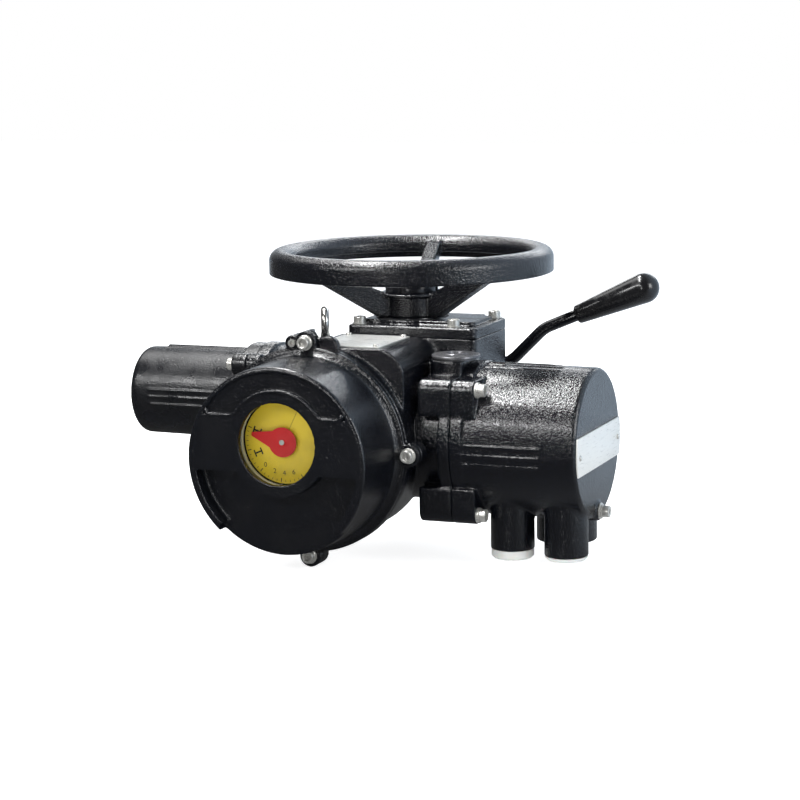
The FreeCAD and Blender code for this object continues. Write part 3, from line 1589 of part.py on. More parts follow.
os.makedirs("parts", exist_ok=True)
for name, make in PIECES.items():
    made = make()
    shape = Part.makeCompound(made) if isinstance(made, list) else made
    shape.exportStep("parts/" + name + ".step")
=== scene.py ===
import math

import bmesh
import bpy
from mathutils import Matrix, Vector


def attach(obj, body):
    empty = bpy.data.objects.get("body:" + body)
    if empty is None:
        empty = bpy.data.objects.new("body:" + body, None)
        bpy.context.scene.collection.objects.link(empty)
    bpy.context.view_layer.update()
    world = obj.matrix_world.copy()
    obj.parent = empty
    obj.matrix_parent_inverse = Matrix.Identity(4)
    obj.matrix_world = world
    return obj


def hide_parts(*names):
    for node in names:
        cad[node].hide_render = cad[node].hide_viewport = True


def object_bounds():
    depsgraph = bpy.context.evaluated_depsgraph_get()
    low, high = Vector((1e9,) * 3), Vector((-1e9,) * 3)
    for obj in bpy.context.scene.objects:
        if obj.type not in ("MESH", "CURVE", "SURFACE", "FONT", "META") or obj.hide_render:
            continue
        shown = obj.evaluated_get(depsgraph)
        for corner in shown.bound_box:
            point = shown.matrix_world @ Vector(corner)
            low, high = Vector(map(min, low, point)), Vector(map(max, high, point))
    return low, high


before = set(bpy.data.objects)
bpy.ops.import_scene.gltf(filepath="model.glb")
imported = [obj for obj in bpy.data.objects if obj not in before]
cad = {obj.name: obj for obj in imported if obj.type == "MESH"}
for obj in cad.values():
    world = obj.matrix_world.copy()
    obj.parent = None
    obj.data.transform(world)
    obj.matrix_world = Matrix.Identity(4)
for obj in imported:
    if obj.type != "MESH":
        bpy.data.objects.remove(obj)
cad_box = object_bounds()


# Main casting
# One hollow aluminium sand casting holds the gear case, the control neck, the terminal neck
# and the motor tunnel. It is shot-blasted and stove enamelled gloss black.

def plug_in(tree, socket, value):
    """Links a socket to another socket, or sets it to a constant."""
    if isinstance(value, bpy.types.NodeSocket):
        tree.links.new(value, socket)
    else:
        socket.default_value = value


def shader(tree, kind, **sockets):
    """A shader node whose named sockets are set, or linked where the value is a socket."""
    made = tree.nodes.new("ShaderNode" + kind)
    for name, value in sockets.items():
        plug_in(tree, made.inputs[name.replace("_", " ")], value)
    return made


def maths(tree, operation, first, second=0.0):
    """The result of one sum on two values or sockets."""
    made = tree.nodes.new("ShaderNodeMath")
    made.operation = operation
    plug_in(tree, made.inputs[0], first)
    plug_in(tree, made.inputs[1], second)
    return made.outputs[0]


def blended(tree, mask, first, second):
    """A colour that goes from first to second as the mask goes from 0 to 1."""
    made = tree.nodes.new("ShaderNodeMix")
    made.data_type = "RGBA"
    plug_in(tree, made.inputs[0], mask)
    plug_in(tree, made.inputs[6], first)
    plug_in(tree, made.inputs[7], second)
    return made.outputs[2]


def ranged(tree, value, low, high, new_low=0.0, new_high=1.0):
    """A value that goes smoothly from new_low to new_high as the input goes from low to high."""
    made = tree.nodes.new("ShaderNodeMapRange")
    made.interpolation_type = "SMOOTHSTEP"
    tree.links.new(value, made.inputs[0])
    for socket, number in zip(made.inputs[1:5], (low, high, new_low, new_high)):
        plug_in(tree, socket, number)
    return made.outputs[0]


def noise(tree, place, scale, detail=2.0, roughness=0.5):
    """Smooth noise between 0 and 1, with scale in waves per metre."""
    made = shader(tree, "TexNoise", Vector=place, Scale=scale, Detail=detail, Roughness=roughness)
    return made.outputs["Fac"]


def object_place(tree):
    """The point that is shaded, in metres from the object's origin."""
    return tree.nodes.new("ShaderNodeTexCoord").outputs["Object"]


def new_group(name, inputs, outputs):
    """An empty shader group with float inputs and outputs, and its two end nodes."""
    group = bpy.data.node_groups.new(name, "ShaderNodeTree")
    for label, value in inputs:
        made = group.interface.new_socket(label, in_out="INPUT", socket_type="NodeSocketFloat")
        made.default_value = value
    for label in outputs:
        group.interface.new_socket(label, in_out="OUTPUT", socket_type="NodeSocketFloat")
    return group, group.nodes.new("NodeGroupInput"), group.nodes.new("NodeGroupOutput")


GRIT_FINER = 3.1
SLOW_WAVES = 34.0


def make_stipple_group():
    """Sand-cast stipple under thick enamel: soft blisters, finer grit, and slow waves."""
    group, given, result = new_group(
        "cast_stipple", [("Blisters", 380.0), ("Grit", 0.3), ("Waves", 0.5)], ["Height", "Patches"]
    )
    place = object_place(group)
    blisters = noise(group, place, given.outputs["Blisters"], detail=1.5, roughness=0.45)
    grit = noise(group, place, maths(group, "MULTIPLY", given.outputs["Blisters"], GRIT_FINER))
    waves = noise(group, place, SLOW_WAVES)
    height = ranged(group, blisters, 0.36, 0.66)
    height = maths(group, "ADD", height, maths(group, "MULTIPLY", grit, given.outputs["Grit"]))
    height = maths(group, "ADD", height, maths(group, "MULTIPLY", waves, given.outputs["Waves"]))
    group.links.new(height, result.inputs["Height"])
    group.links.new(ranged(group, waves, 0.35, 0.7), result.inputs["Patches"])
    return group


def make_edge_group():
    """A mask that is 1 on sharp outer edges, broken up by fine noise, for wear and a painted edge
    highlight.
    """
    group, given, result = new_group("edge_wear_and_highlight", [("Reach", 0.0012), ("Amount", 1.0)], ["Mask"])
    rounded = group.nodes.new("ShaderNodeBevel")
    rounded.samples = 4
    group.links.new(given.outputs["Reach"], rounded.inputs["Radius"])
    surface = group.nodes.new("ShaderNodeNewGeometry")
    turn = group.nodes.new("ShaderNodeVectorMath")
    turn.operation = "DOT_PRODUCT"
    group.links.new(rounded.outputs["Normal"], turn.inputs[0])
    group.links.new(surface.outputs["Normal"], turn.inputs[1])
    edge = ranged(group, maths(group, "SUBTRACT", 1.0, turn.outputs["Value"]), 0.02, 0.16)
    chips = noise(group, object_place(group), 900.0, detail=3.0, roughness=0.6)
    broken = ranged(group, chips, 0.42, 0.6)
    # Edges of thin, worn enamel, which also carry a painted highlight.
    worn_and_highlit = maths(group, "MULTIPLY", edge, broken)
    mask = maths(group, "MULTIPLY", worn_and_highlit, given.outputs["Amount"])
    group.links.new(mask, result.inputs["Mask"])
    return group


def make_dust_group():
    """A mask of thin dust that settles on surfaces facing up."""
    group, given, result = new_group("settled_dust", [("Amount", 0.3)], ["Mask"])
    surface = group.nodes.new("ShaderNodeNewGeometry")
    split = group.nodes.new("ShaderNodeSeparateXYZ")
    group.links.new(surface.outputs["Normal"], split.inputs[0])
    facing_up = ranged(group, split.outputs["Z"], 0.3, 1.0)
    drifts = noise(group, object_place(group), 60.0, detail=5.0, roughness=0.65)
    thick = ranged(group, drifts, 0.4, 0.75)
    settled = maths(group, "MULTIPLY", facing_up, thick)
    mask = maths(group, "MULTIPLY", settled, given.outputs["Amount"])
    group.links.new(mask, result.inputs["Mask"])
    return group


stipple_group = make_stipple_group()
edge_group = make_edge_group()
dust_group = make_dust_group()


def use_group(tree, group, **values):
    """Places a group in a material with its own values, and gives its outputs."""
    made = tree.nodes.new("ShaderNodeGroup")
    made.node_tree = group
    for name, value in values.items():
        made.inputs[name].default_value = value
    return made.outputs


def new_material(name, **sockets):
    """A new material, its node tree and its surface shader, with named sockets set."""
    material = bpy.data.materials.new(name)
    material.use_nodes = True
    surface = material.node_tree.nodes["Principled BSDF"]
    for label, value in sockets.items():
        surface.inputs[label.replace("_", " ")].default_value = value
    return material, material.node_tree, surface


def add_bump(tree, surface, height, depth):
    """Raises the surface by a height of 0 to 1 times depth, in metres."""
    bump = shader(tree, "Bump", Height=height, Strength=1.0, Distance=depth)
    tree.links.new(bump.outputs["Normal"], surface.inputs["Normal"])


ENAMEL_BLACK = (0.0028, 0.0034, 0.0054, 1)
# Lighter enamel for the edges: thin paint there, and a painted highlight along them.
ENAMEL_THIN_AND_HIGHLIT = (0.028, 0.031, 0.038, 1)
DUST_GREY = (0.16, 0.15, 0.14, 1)


def black_enamel(name, blisters, depth, roughness, waves=0.5, dusty=0.03):
    """Stove enamel over a sand casting; depth is the height of its stipple in metres."""
    material, tree, surface = new_material(name, IOR=1.62)
    stipple = use_group(tree, stipple_group, Blisters=blisters, Grit=0.25, Waves=waves)
    edge = use_group(tree, edge_group, Reach=0.0015, Amount=0.4)["Mask"]
    dust = use_group(tree, dust_group, Amount=dusty)["Mask"]
    # The edges turn lighter: partly thin, worn enamel and partly a painted highlight.
    colour = blended(tree, edge, ENAMEL_BLACK, ENAMEL_THIN_AND_HIGHLIT)
    tree.links.new(blended(tree, dust, colour, DUST_GREY), surface.inputs["Base Color"])
    gloss = ranged(tree, stipple["Patches"], 0.0, 1.0, roughness * 0.8, roughness * 1.25)
    gloss = maths(tree, "ADD", gloss, maths(tree, "MULTIPLY", dust, 0.5))
    tree.links.new(gloss, surface.inputs["Roughness"])
    add_bump(tree, surface, stipple["Height"], depth)
    return material


SAME_POINT = 0.00001


def join_points(piece):
    """Joins the loose triangles of a CAD piece where their corners meet."""
    piece.modifiers.new("merge", "WELD").merge_threshold = SAME_POINT


def cast_skin(name, grain, passes, keep):
    """Rounds a casting's edges and inner corners as a sand mould does, on the CAD piece itself.

    The grain is in metres, and keep is the share of its triangles that stays.
    """
    piece = cad[name]
    join_points(piece)
    mould = piece.modifiers.new("mould", "REMESH")
    mould.mode = "VOXEL"
    mould.voxel_size = grain
    mould.use_smooth_shade = True
    soften = piece.modifiers.new("soften", "SMOOTH")
    soften.factor = 0.5
    soften.iterations = passes
    piece.modifiers.new("thin", "DECIMATE").ratio = keep


def finish(material, *names):
    """Gives CAD pieces a material."""
    for name in names:
        slots = cad[name].data.materials
        slots.clear()
        slots.append(material)


cast_skin("main_housing", grain=0.0014, passes=5, keep=0.35)
HOUSING_ENAMEL = black_enamel(
    "housing_enamel", blisters=520.0, depth=0.00016, roughness=0.18, waves=0.3
)
finish(HOUSING_ENAMEL, "main_housing")


# Control cover
# A die-cast bell with a raised window hump and two pockets in its face. Its enamel is finer and
# more satin than the main casting's, because the mould is metal and not sand.

cast_skin("control_cover", grain=0.0011, passes=4, keep=0.5)
COVER_ENAMEL = black_enamel(
    "cover_enamel", blisters=560.0, depth=0.00015, roughness=0.2, waves=0.4
)
finish(COVER_ENAMEL, "control_cover")


# Terminal cover
# A sand-cast drum with square corner lugs, two sets of cast ribs and three cable entries. The
# enamel lies thick over coarse sand here, so that its highlights break up into speckles.

cast_skin("terminal_cover", grain=0.0012, passes=4, keep=0.5)
TERMINAL_ENAMEL = black_enamel(
    "terminal_enamel", blisters=540.0, depth=0.00017, roughness=0.13, waves=0.2
)
finish(TERMINAL_ENAMEL, "terminal_cover")


# Motor housing
# A cast can with ribs along it and four ears, screwed to the motor tunnel. Its enamel is smoother
# and more satin than the main casting's.

cast_skin("motor_housing", grain=0.0012, passes=4, keep=0.5)
MOTOR_ENAMEL = black_enamel(
    "motor_enamel", blisters=520.0, depth=0.00008, roughness=0.3, waves=0.6
)
finish(MOTOR_ENAMEL, "motor_housing")


# Gear case lid and valve foot
# Both are sand castings with machined joints, in the same enamel as the main casting. The lid
# carries the handwheel's bearing, and the foot bolts to the valve.

cast_skin("top_plate", grain=0.0011, passes=3, keep=0.5)
cast_skin("mounting_base", grain=0.0011, passes=3, keep=0.6)
LID_ENAMEL = black_enamel(
    "lid_enamel", blisters=520.0, depth=0.00016, roughness=0.18, waves=0.3
)
finish(LID_ENAMEL, "top_plate", "mounting_base")


# Handwheel
# A cast iron wheel with a hollow rim and three sloping spokes, keyed to its sleeve and dipped
# in gloss black. The coarse sand shows in speckled highlights along the rim.

cast_skin("handwheel", grain=0.0012, passes=4, keep=0.6)
WHEEL_ENAMEL = black_enamel(
    "wheel_enamel", blisters=520.0, depth=0.00021, roughness=0.15, waves=0.3
)
finish(WHEEL_ENAMEL, "handwheel")


# Machined and moulded pieces
# Turned, milled and moulded pieces keep crisp edges with a small broken edge, and are shaded
# round where they are round.

ROUND_BELOW = math.radians(42)


def make_shade_group():
    """Geometry nodes that shade a mesh smooth, apart from its sharp edges."""
    group = bpy.data.node_groups.new("shade_by_angle", "GeometryNodeTree")
    for way in ("INPUT", "OUTPUT"):
        group.interface.new_socket("Geometry", in_out=way, socket_type="NodeSocketGeometry")
    given = group.nodes.new("NodeGroupInput")
    result = group.nodes.new("NodeGroupOutput")
    faces = group.nodes.new("GeometryNodeSetShadeSmooth")
    edges = group.nodes.new("GeometryNodeSetShadeSmooth")
    edges.domain = "EDGE"
    edges.inputs["Shade Smooth"].default_value = False
    angle = group.nodes.new("GeometryNodeInputMeshEdgeAngle")
    sharp = group.nodes.new("FunctionNodeCompare")
    sharp.operation = "GREATER_THAN"
    sharp.inputs[1].default_value = ROUND_BELOW
    group.links.new(given.outputs[0], faces.inputs["Geometry"])
    group.links.new(faces.outputs[0], edges.inputs["Geometry"])
    group.links.new(angle.outputs["Unsigned Angle"], sharp.inputs[0])
    group.links.new(sharp.outputs[0], edges.inputs["Selection"])
    group.links.new(edges.outputs[0], result.inputs[0])
    return group


shade_group = make_shade_group()


def shade_round(piece):
    """Shades a piece smooth where its faces meet at less than the sharp angle."""
    piece.modifiers.new("shade", "NODES").node_group = shade_group


def break_edges(width, *names):
    """Gives machined CAD pieces a small bevel and round shading."""
    for name in names:
        piece = cad[name]
        join_points(piece)
        bevel = piece.modifiers.new("bevel", "BEVEL")
        bevel.width = width
        bevel.segments = 2
        bevel.limit_method = "ANGLE"
        bevel.angle_limit = ROUND_BELOW
        shade_round(piece)


DULLER = 0.62


def metal(name, colour, roughness, mottle=0.12, grain=0.00002, across=(1.0, 1.0, 1.0), bare=1.0):
    """Bare or plated metal with uneven polish.

    Across stretches its scratches along an axis, and bare is how far it shines like bare metal.
    """
    material, tree, surface = new_material(name, Metallic=bare)
    place = object_place(tree)
    cloud = noise(tree, place, 90.0, detail=4.0, roughness=0.6)
    cloud = maths(tree, "MULTIPLY", cloud, mottle * 4)
    dull = tuple(channel * DULLER for channel in colour)
    tree.links.new(blended(tree, cloud, colour + (1,), dull + (1,)), surface.inputs["Base Color"])
    stretched = shader(tree, "Mapping", Vector=place, Scale=across).outputs[0]
    scratches = noise(tree, stretched, 1500.0, detail=3.0, roughness=0.6)
    gloss = ranged(tree, scratches, 0.3, 0.7, roughness * 0.7, roughness * 1.35)
    tree.links.new(gloss, surface.inputs["Roughness"])
    add_bump(tree, surface, scratches, grain)
    return material


ZINC = metal("zinc_plate", (0.74, 0.73, 0.69), 0.27, bare=0.7)
STEEL = metal("ground_steel", (0.5, 0.5, 0.51), 0.3, across=(0.05, 1.0, 1.0))
BEARING_STEEL = metal("bearing_steel", (0.6, 0.6, 0.62), 0.16, mottle=0.05)
SPRING_STEEL = metal("spring_steel", (0.22, 0.22, 0.25), 0.38)
BRONZE = metal("cast_bronze", (0.62, 0.4, 0.17), 0.3, mottle=0.2)
STACK_STEEL = metal(
    "stacked_laminations", (0.35, 0.35, 0.36), 0.45, grain=0.00008, across=(6.0, 0.05, 0.05)
)
BLACKENED = metal("blackened_steel", (0.16, 0.16, 0.17), 0.3, mottle=0.1, grain=0.00003, bare=0.6)
BRIGHT_RING = metal("polished_ring", (0.82, 0.81, 0.78), 0.14, mottle=0.04, bare=0.6)

finish(
    ZINC, "base_screws", "backplate_screws", "terminal_washers", "earth_screw", "cover_jack_screw"
)
finish(
    STEEL, "drive_sleeve", "clutch_keys", "worm_shaft", "clutch_ring", "hub_key", "motor_rotor",
    "lever_shaft", "clutch_fork", "control_backplate",
)
finish(BEARING_STEEL, "worm_bearings", "motor_bearing")
finish(SPRING_STEEL, "torque_springs")
finish(
    BRONZE, "stem_bush", "lower_bush", "worm_wheel", "hand_bush", "top_bush", "lever_bush",
    "terminal_studs",
)
finish(STACK_STEEL, "motor_stator")
finish(BRIGHT_RING, "window_ring", "pointer_spindle")
COARSE_EDGE = 0.0004
FINE_EDGE = 0.0002
break_edges(
    COARSE_EDGE, "base_screws", "backplate_screws", "terminal_washers", "earth_screw", "hub_nut",
    "hub_key", "clutch_keys", "lever_shaft", "hand_sleeve", "drive_sleeve", "stem_bush",
)
break_edges(
    FINE_EDGE, "worm_shaft", "worm_wheel", "clutch_ring", "clutch_fork", "motor_rotor",
    "motor_stator", "lower_bush", "hand_bush", "top_bush", "lever_bush", "terminal_studs",
    "torque_springs", "worm_bearings", "motor_bearing", "window_ring", "pointer_spindle",
    "control_backplate", "cover_jack_screw",
)


# Socket head screws
# Zinc-plated M8 screws with knurled heads, broken edges and a hexagon socket, each on a plain
# washer. They hold the two covers, the motor and the gear case lid.

SIDES = 72
CLOSED = 0.001
FLUTE_DEEP = 0.22
CONTROL_X = -47.5
CONTROL_UP = 64.6
TERMINAL_Y = -64
TERMINAL_UP = 67
MOTOR_Y = -50
MOTOR_UP = 98


def in_mm(*rows):
    """A placing matrix with its distances in millimetres, for meshes in metres."""
    return Matrix.Scale(0.001, 4) @ Matrix(rows + ((0, 0, 0, 1),))


UPRIGHT = in_mm((1, 0, 0, 0), (0, 1, 0, 0), (0, 0, 1, 0))
FRONT = in_mm((1, 0, 0, CONTROL_X), (0, 0, -1, 0), (0, 1, 0, CONTROL_UP))
TERMINAL = in_mm((0, 0, 1, 0), (1, 0, 0, TERMINAL_Y), (0, 1, 0, TERMINAL_UP))
MOTOR = in_mm((0, 0, 1, 0), (1, 0, 0, MOTOR_Y), (0, 1, 0, MOTOR_UP))


def at(frame_of, x, y, z, turn=0.0):
    """A frame moved to a point, in its own millimetres, and turned about its own Z in degrees."""
    spot = Matrix.Translation((x, y, z))
    return frame_of @ spot @ Matrix.Rotation(math.radians(turn), 4, "Z")


def on_circle(r, degrees):
    """The point of a circle at an angle."""
    return r * math.cos(math.radians(degrees)), r * math.sin(math.radians(degrees))


def spun(shape, chain):
    """Spins a chain of corners and edges once round Z, closes it and gives its corners."""
    others = set(shape.verts) - set(chain)
    bmesh.ops.spin(
        shape, geom=chain, cent=(0, 0, 0), axis=(0, 0, 1), angle=math.tau, steps=SIDES, use_merge=True
    )
    made = [corner for corner in shape.verts if corner not in others]
    bmesh.ops.remove_doubles(shape, verts=made, dist=CLOSED)
    return [corner for corner in shape.verts if corner not in others]


def cut_radius(r, kind, degrees):
    """The radius at an angle of a ring that is knurled or six-sided."""
    if kind == "hex":
        return r * math.cos(math.radians(30)) / math.cos(math.radians(degrees % 60 - 30))
    return r - FLUTE_DEEP * (round(degrees * SIDES / 360) % 2)


def turned(shape, place, profile):
    """Adds a turned solid to a mesh: its profile is (radius, height) or (radius, height, kind)."""
    points = [shape.verts.new((point[0], 0, point[1])) for point in profile]
    edges = [shape.edges.new(pair) for pair in zip(points, points[1:])]
    corners = spun(shape, points + edges)
    for r, height, kind in [point for point in profile if len(point) == 3]:
        for corner in corners:
            x, y, z = corner.co
            if abs(z - height) < CLOSED and abs(math.hypot(x, y) - r) < CLOSED:
                degrees = math.degrees(math.atan2(y, x))
                corner.co = (*on_circle(cut_radius(r, kind, degrees), degrees), z)
    bmesh.ops.transform(shape, matrix=place, verts=corners)


def new_piece(name, shape, material, body, stands_for=()):
    """Makes a mesh a piece of the object, riding on a body and standing for CAD pieces."""
    bmesh.ops.recalc_face_normals(shape, faces=shape.faces)
    mesh = bpy.data.meshes.new(name)
    shape.to_mesh(mesh)
    shape.free()
    mesh.materials.append(material)
    piece = bpy.data.objects.new(name, mesh)
    bpy.context.scene.collection.objects.link(piece)
    shade_round(piece)
    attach(piece, body)
    if stands_for:
        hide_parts(*stands_for)


WASHER = 1.4
SCREW_HEAD = [
    (6.0, WASHER), (6.4, WASHER + 0.3), (6.5, WASHER + 0.7, "knurl"), (6.5, 6.9, "knurl"),
    (6.35, 7.3), (6.1, 7.7), (5.6, 8.0), (4.3, 8.0), (4.0, 7.75), (3.85, 7.6, "hex"),
    (3.7, 4.0, "hex"), (0, 3.2),
]
WASHER_RING = [(4.3, 0), (7.5, 0), (7.8, 0.2), (7.8, 1.2), (7.5, WASHER), (4.3, WASHER), (4.3, 0)]


def socket_screws(name, places, long):
    """One piece made of several socket screws with washers: each place is on the screw's seat."""
    shape = bmesh.new()
    shank = [(0, -long), (3.2, -long), (4.0, 1.0 - long), (4.0, WASHER)]
    for place in places:
        turned(shape, place, shank + SCREW_HEAD)
        turned(shape, place, WASHER_RING)
    new_piece(name + "_set", shape, ZINC, "root", (name,))


COVER_BOLT_R = 109.3
COVER_SEAT = 172.0
socket_screws("cover_screws", [
    at(FRONT, *on_circle(COVER_BOLT_R, turn), COVER_SEAT, turn + 17) for turn in (0, 90, 180, 270)
], long=27)
LID_TOP = 177.0
LID_BOLTS = ((-41.5, -44.5), (63.5, -44.5), (80.0, 34.5), (-41.5, 34.5))
socket_screws("top_plate_screws", [at(UPRIGHT, x, y, LID_TOP, x) for x, y in LID_BOLTS], long=31)
TERMINAL_BOLT_OUT = 63.5
TERMINAL_BOLT_DOWN = 4.5
TERMINAL_SEAT = 119.6
socket_screws("terminal_screws", [
    at(TERMINAL, sx * TERMINAL_BOLT_OUT, sy * TERMINAL_BOLT_OUT - TERMINAL_BOLT_DOWN,
       TERMINAL_SEAT, 25 * sx + 8 * sy)
    for sx in (-1, 1) for sy in (-1, 1)
], long=46.6)
MOTOR_BOLT_R = 60.0
MOTOR_SEAT = -162.5
socket_screws("motor_screws", [
    at(MOTOR, *on_circle(MOTOR_BOLT_R, turn), MOTOR_SEAT, turn) @ Matrix.Rotation(math.pi, 4, "X")
    for turn in (40, 140, 220, 320)
], long=28.5)


# Lifting eye
# A small forged stainless eyebolt, a round ring on a flanged foot. It is screwed into a boss
# behind the cover's joint.

EYE_PLACE = (-35.0, -150.0, 172.0)
EYE_RING_R = 12.0
EYE_WIRE_R = 4.0
EYE_UP = 20.5
EYE_FOOT = [
    (0, -12), (3.4, -12), (4, -11.4), (4, 0), (6.2, 0), (6.5, 0.4), (6.4, 1.6), (5.6, 3.2),
    (5.0, 5.0), (4.6, 7.5), (4.4, 9.5), (0, 10.5),
]


def ring_edges(shape, ring):
    """The edges of a closed ring of corners, in the mesh's own order."""
    return [edge for edge in shape.edges if edge.verts[0] in ring and edge.verts[1] in ring]


def round_ring(shape, place, ring_r, wire_r):
    """Adds a torus about the place's Z."""
    upright = Matrix.Translation((ring_r, 0, 0)) @ Matrix.Rotation(math.pi / 2, 4, "X")
    wire = bmesh.ops.create_circle(shape, segments=24, radius=wire_r, matrix=upright)["verts"]
    corners = spun(shape, wire + ring_edges(shape, wire))
    bmesh.ops.transform(shape, matrix=place, verts=corners)


def make_lifting_eye():
    """Stands the ring on its foot, turned a little out of line."""
    stand = at(UPRIGHT, *EYE_PLACE, 24)
    ring_place = at(stand, 0, 0, EYE_UP) @ Matrix.Rotation(math.pi / 2, 4, "Y")
    shape = bmesh.new()
    round_ring(shape, ring_place, EYE_RING_R, EYE_WIRE_R)
    turned(shape, stand, EYE_FOOT)
    stainless = metal("forged_stainless", (0.62, 0.61, 0.58), 0.22)
    new_piece("lifting_eye", shape, stainless, "root", ("lifting_eyebolt",))


make_lifting_eye()


# Hand lever
# A bent round bar in gloss black, clamped on the clutch shaft, with a moulded phenolic grip that
# tapers out to a ball end.

ROD_ENAMEL = black_enamel("rod_enamel", blisters=700.0, depth=0.00003, roughness=0.16)
finish(ROD_ENAMEL, "lever_rod")
break_edges(0.0008, "lever_rod")
GRIP_PLACE = (164.0, 60.0, 180.0)
GRIP_RUN = 37.0
GRIP_RISE = 15.5
GRIP_THIN_R = 10.0
GRIP_WIDENS = 5.9
COLLAR_HIGH = 1.8
TAPER_LONG = 75.0
BALL_R = 16.0
BALL_UP = 79.0


def grip_profile():
    """A broken lower edge, a taper that widens, and the ball end."""
    profile = [(0, 0), (8.4, 0), (9.3, 0.3), (9.8, 1.0), (GRIP_THIN_R, COLLAR_HIGH)]
    for share in (0.1, 0.3, 0.5, 0.7, 0.9, 1.0):
        profile.append((GRIP_THIN_R + GRIP_WIDENS * share, COLLAR_HIGH + TAPER_LONG * share))
    for turn in range(-2, 90, 6):
        out, up = on_circle(BALL_R, turn)
        profile.append((out, BALL_UP + up))
    return profile + [(0, BALL_UP + BALL_R)]


def make_phenolic():
    """Black phenolic with a faint orange-peel surface, polished unevenly by hands."""
    material, tree, surface = new_material(
        "moulded_phenolic", Base_Color=(0.006, 0.006, 0.007, 1), Roughness=0.2, Coat_Weight=0.25
    )
    place = object_place(tree)
    hand_worn = noise(tree, place, 120.0, detail=5.0, roughness=0.6)
    gloss = ranged(tree, hand_worn, 0.35, 0.7, 0.16, 0.34)
    tree.links.new(gloss, surface.inputs["Roughness"])
    add_bump(tree, surface, noise(tree, place, 160.0), 0.00012)
    return material


def make_grip():
    """Leans the grip outwards, in line with the end of the bar."""
    lean = Matrix.Rotation(math.atan2(GRIP_RUN, GRIP_RISE), 4, "Y")
    shape = bmesh.new()
    turned(shape, at(UPRIGHT, *GRIP_PLACE) @ lean, grip_profile())
    new_piece("hand_grip", shape, make_phenolic(), "lever", ("lever_grip",))


make_grip()


# Oil plug and blackened turned pieces
# The plug is a flanged disc with a dished hexagon, on a narrower neck that reads as a dark groove.
# The stem cap, the hub nut and the handwheel's sleeve are turned, and enamelled thinly in black.

TURNED_BLACK = black_enamel("turned_black", blisters=800.0, depth=0.00002, roughness=0.2)
finish(TURNED_BLACK, "stem_cap", "hub_nut", "hand_sleeve")
break_edges(0.0007, "stem_cap")
OIL_PLUG_PLACE = (79.0, -80.0, 150.0)
OIL_PLUG = [
    (0, -14), (11.6, -14), (12.4, -13), (12.4, 0), (22.6, 0), (22.6, 1.3), (24.3, 1.5),
    (24.7, 1.9), (24.7, 3.9), (24.3, 4.4), (23.6, 4.6), (12.4, 5.1), (11.6, 5.9), (10.6, 6.0),
    (9.9, 5.7), (9.4, 4.4), (8.6, 4.1), (8.0, 4.0, "hex"), (7.8, 1.0, "hex"), (0, 0.6),
]


def make_oil_plug():
    """Sets the plug into its hole on top of the casting."""
    shape = bmesh.new()
    turned(shape, at(UPRIGHT, *OIL_PLUG_PLACE), OIL_PLUG)
    new_piece("turned_plug", shape, BLACKENED, "root", ("oil_plug",))


make_oil_plug()


# Rim of the face's upper pocket
# A rounded bead, cast on the control cover, runs along the step of its face and swings over the
# window.

BEAD_R = 2.6
BEAD_SIDES = 12
FACE = 246.5
HUMP_R = 53.0
HUMP_UP = 18.4
BAND_UP = 45.4
FILLET_R = 12.0
RIGHT_SHORTER = 5.4


def bead_path():
    """Points in the cover's frame: a raised end, the band's edge, a fillet, the hump, and back."""
    fillet_up = BAND_UP + FILLET_R
    out = math.sqrt((HUMP_R + FILLET_R) ** 2 - (fillet_up - HUMP_UP) ** 2)
    meets = math.degrees(math.atan2(fillet_up - HUMP_UP, out))
    half = [(-75.2, 49.4), (-74.6, 47.6), (-73.2, 46.1)]
    half += [(x, BAND_UP) for x in (-71.0, -62.0, -out)]
    for step in range(1, 9):
        x, y = on_circle(FILLET_R, -90 + (90 - meets) * step / 8)
        half.append((x - out, y + fillet_up))
    for step in range(1, 21):
        x, y = on_circle(HUMP_R, 180 - meets - (90 - meets) * step / 20)
        half.append((x, y + HUMP_UP))
    return half + [(-x if x > -60 else -x - RIGHT_SHORTER, y) for x, y in reversed(half[:-1])]


def make_face_bead():
    """Bridges circles along the path, with a ball at each end."""
    path = [Vector((x, y, 0)) for x, y in bead_path()]
    shape = bmesh.new()
    rings = []
    for before, here, after in zip(path[:1] + path, path, path[1:] + path[-1:]):
        aim = (after - before).to_track_quat("Z", "Y").to_matrix().to_4x4()
        ring = bmesh.ops.create_circle(
            shape, cap_ends=before == here or here == after, segments=BEAD_SIDES, radius=BEAD_R,
            matrix=at(FRONT, here.x, here.y, FACE) @ aim,
        )
        rings.append(ring_edges(shape, ring["verts"]))
    for here, there in zip(rings, rings[1:]):
        bmesh.ops.bridge_loops(shape, edges=here + there)
    for end in (path[0], path[-1]):
        bmesh.ops.create_uvsphere(
            shape, u_segments=16, v_segments=10, radius=BEAD_R, matrix=at(FRONT, end.x, end.y, FACE)
        )
    new_piece("face_bead", shape, COVER_ENAMEL, "root")


make_face_bead()


# Plates
# Both plates are brushed aluminium and left blank. Small screws hold the one on the casting's
# shoulder, and two rivets the band on the terminal cover's end.

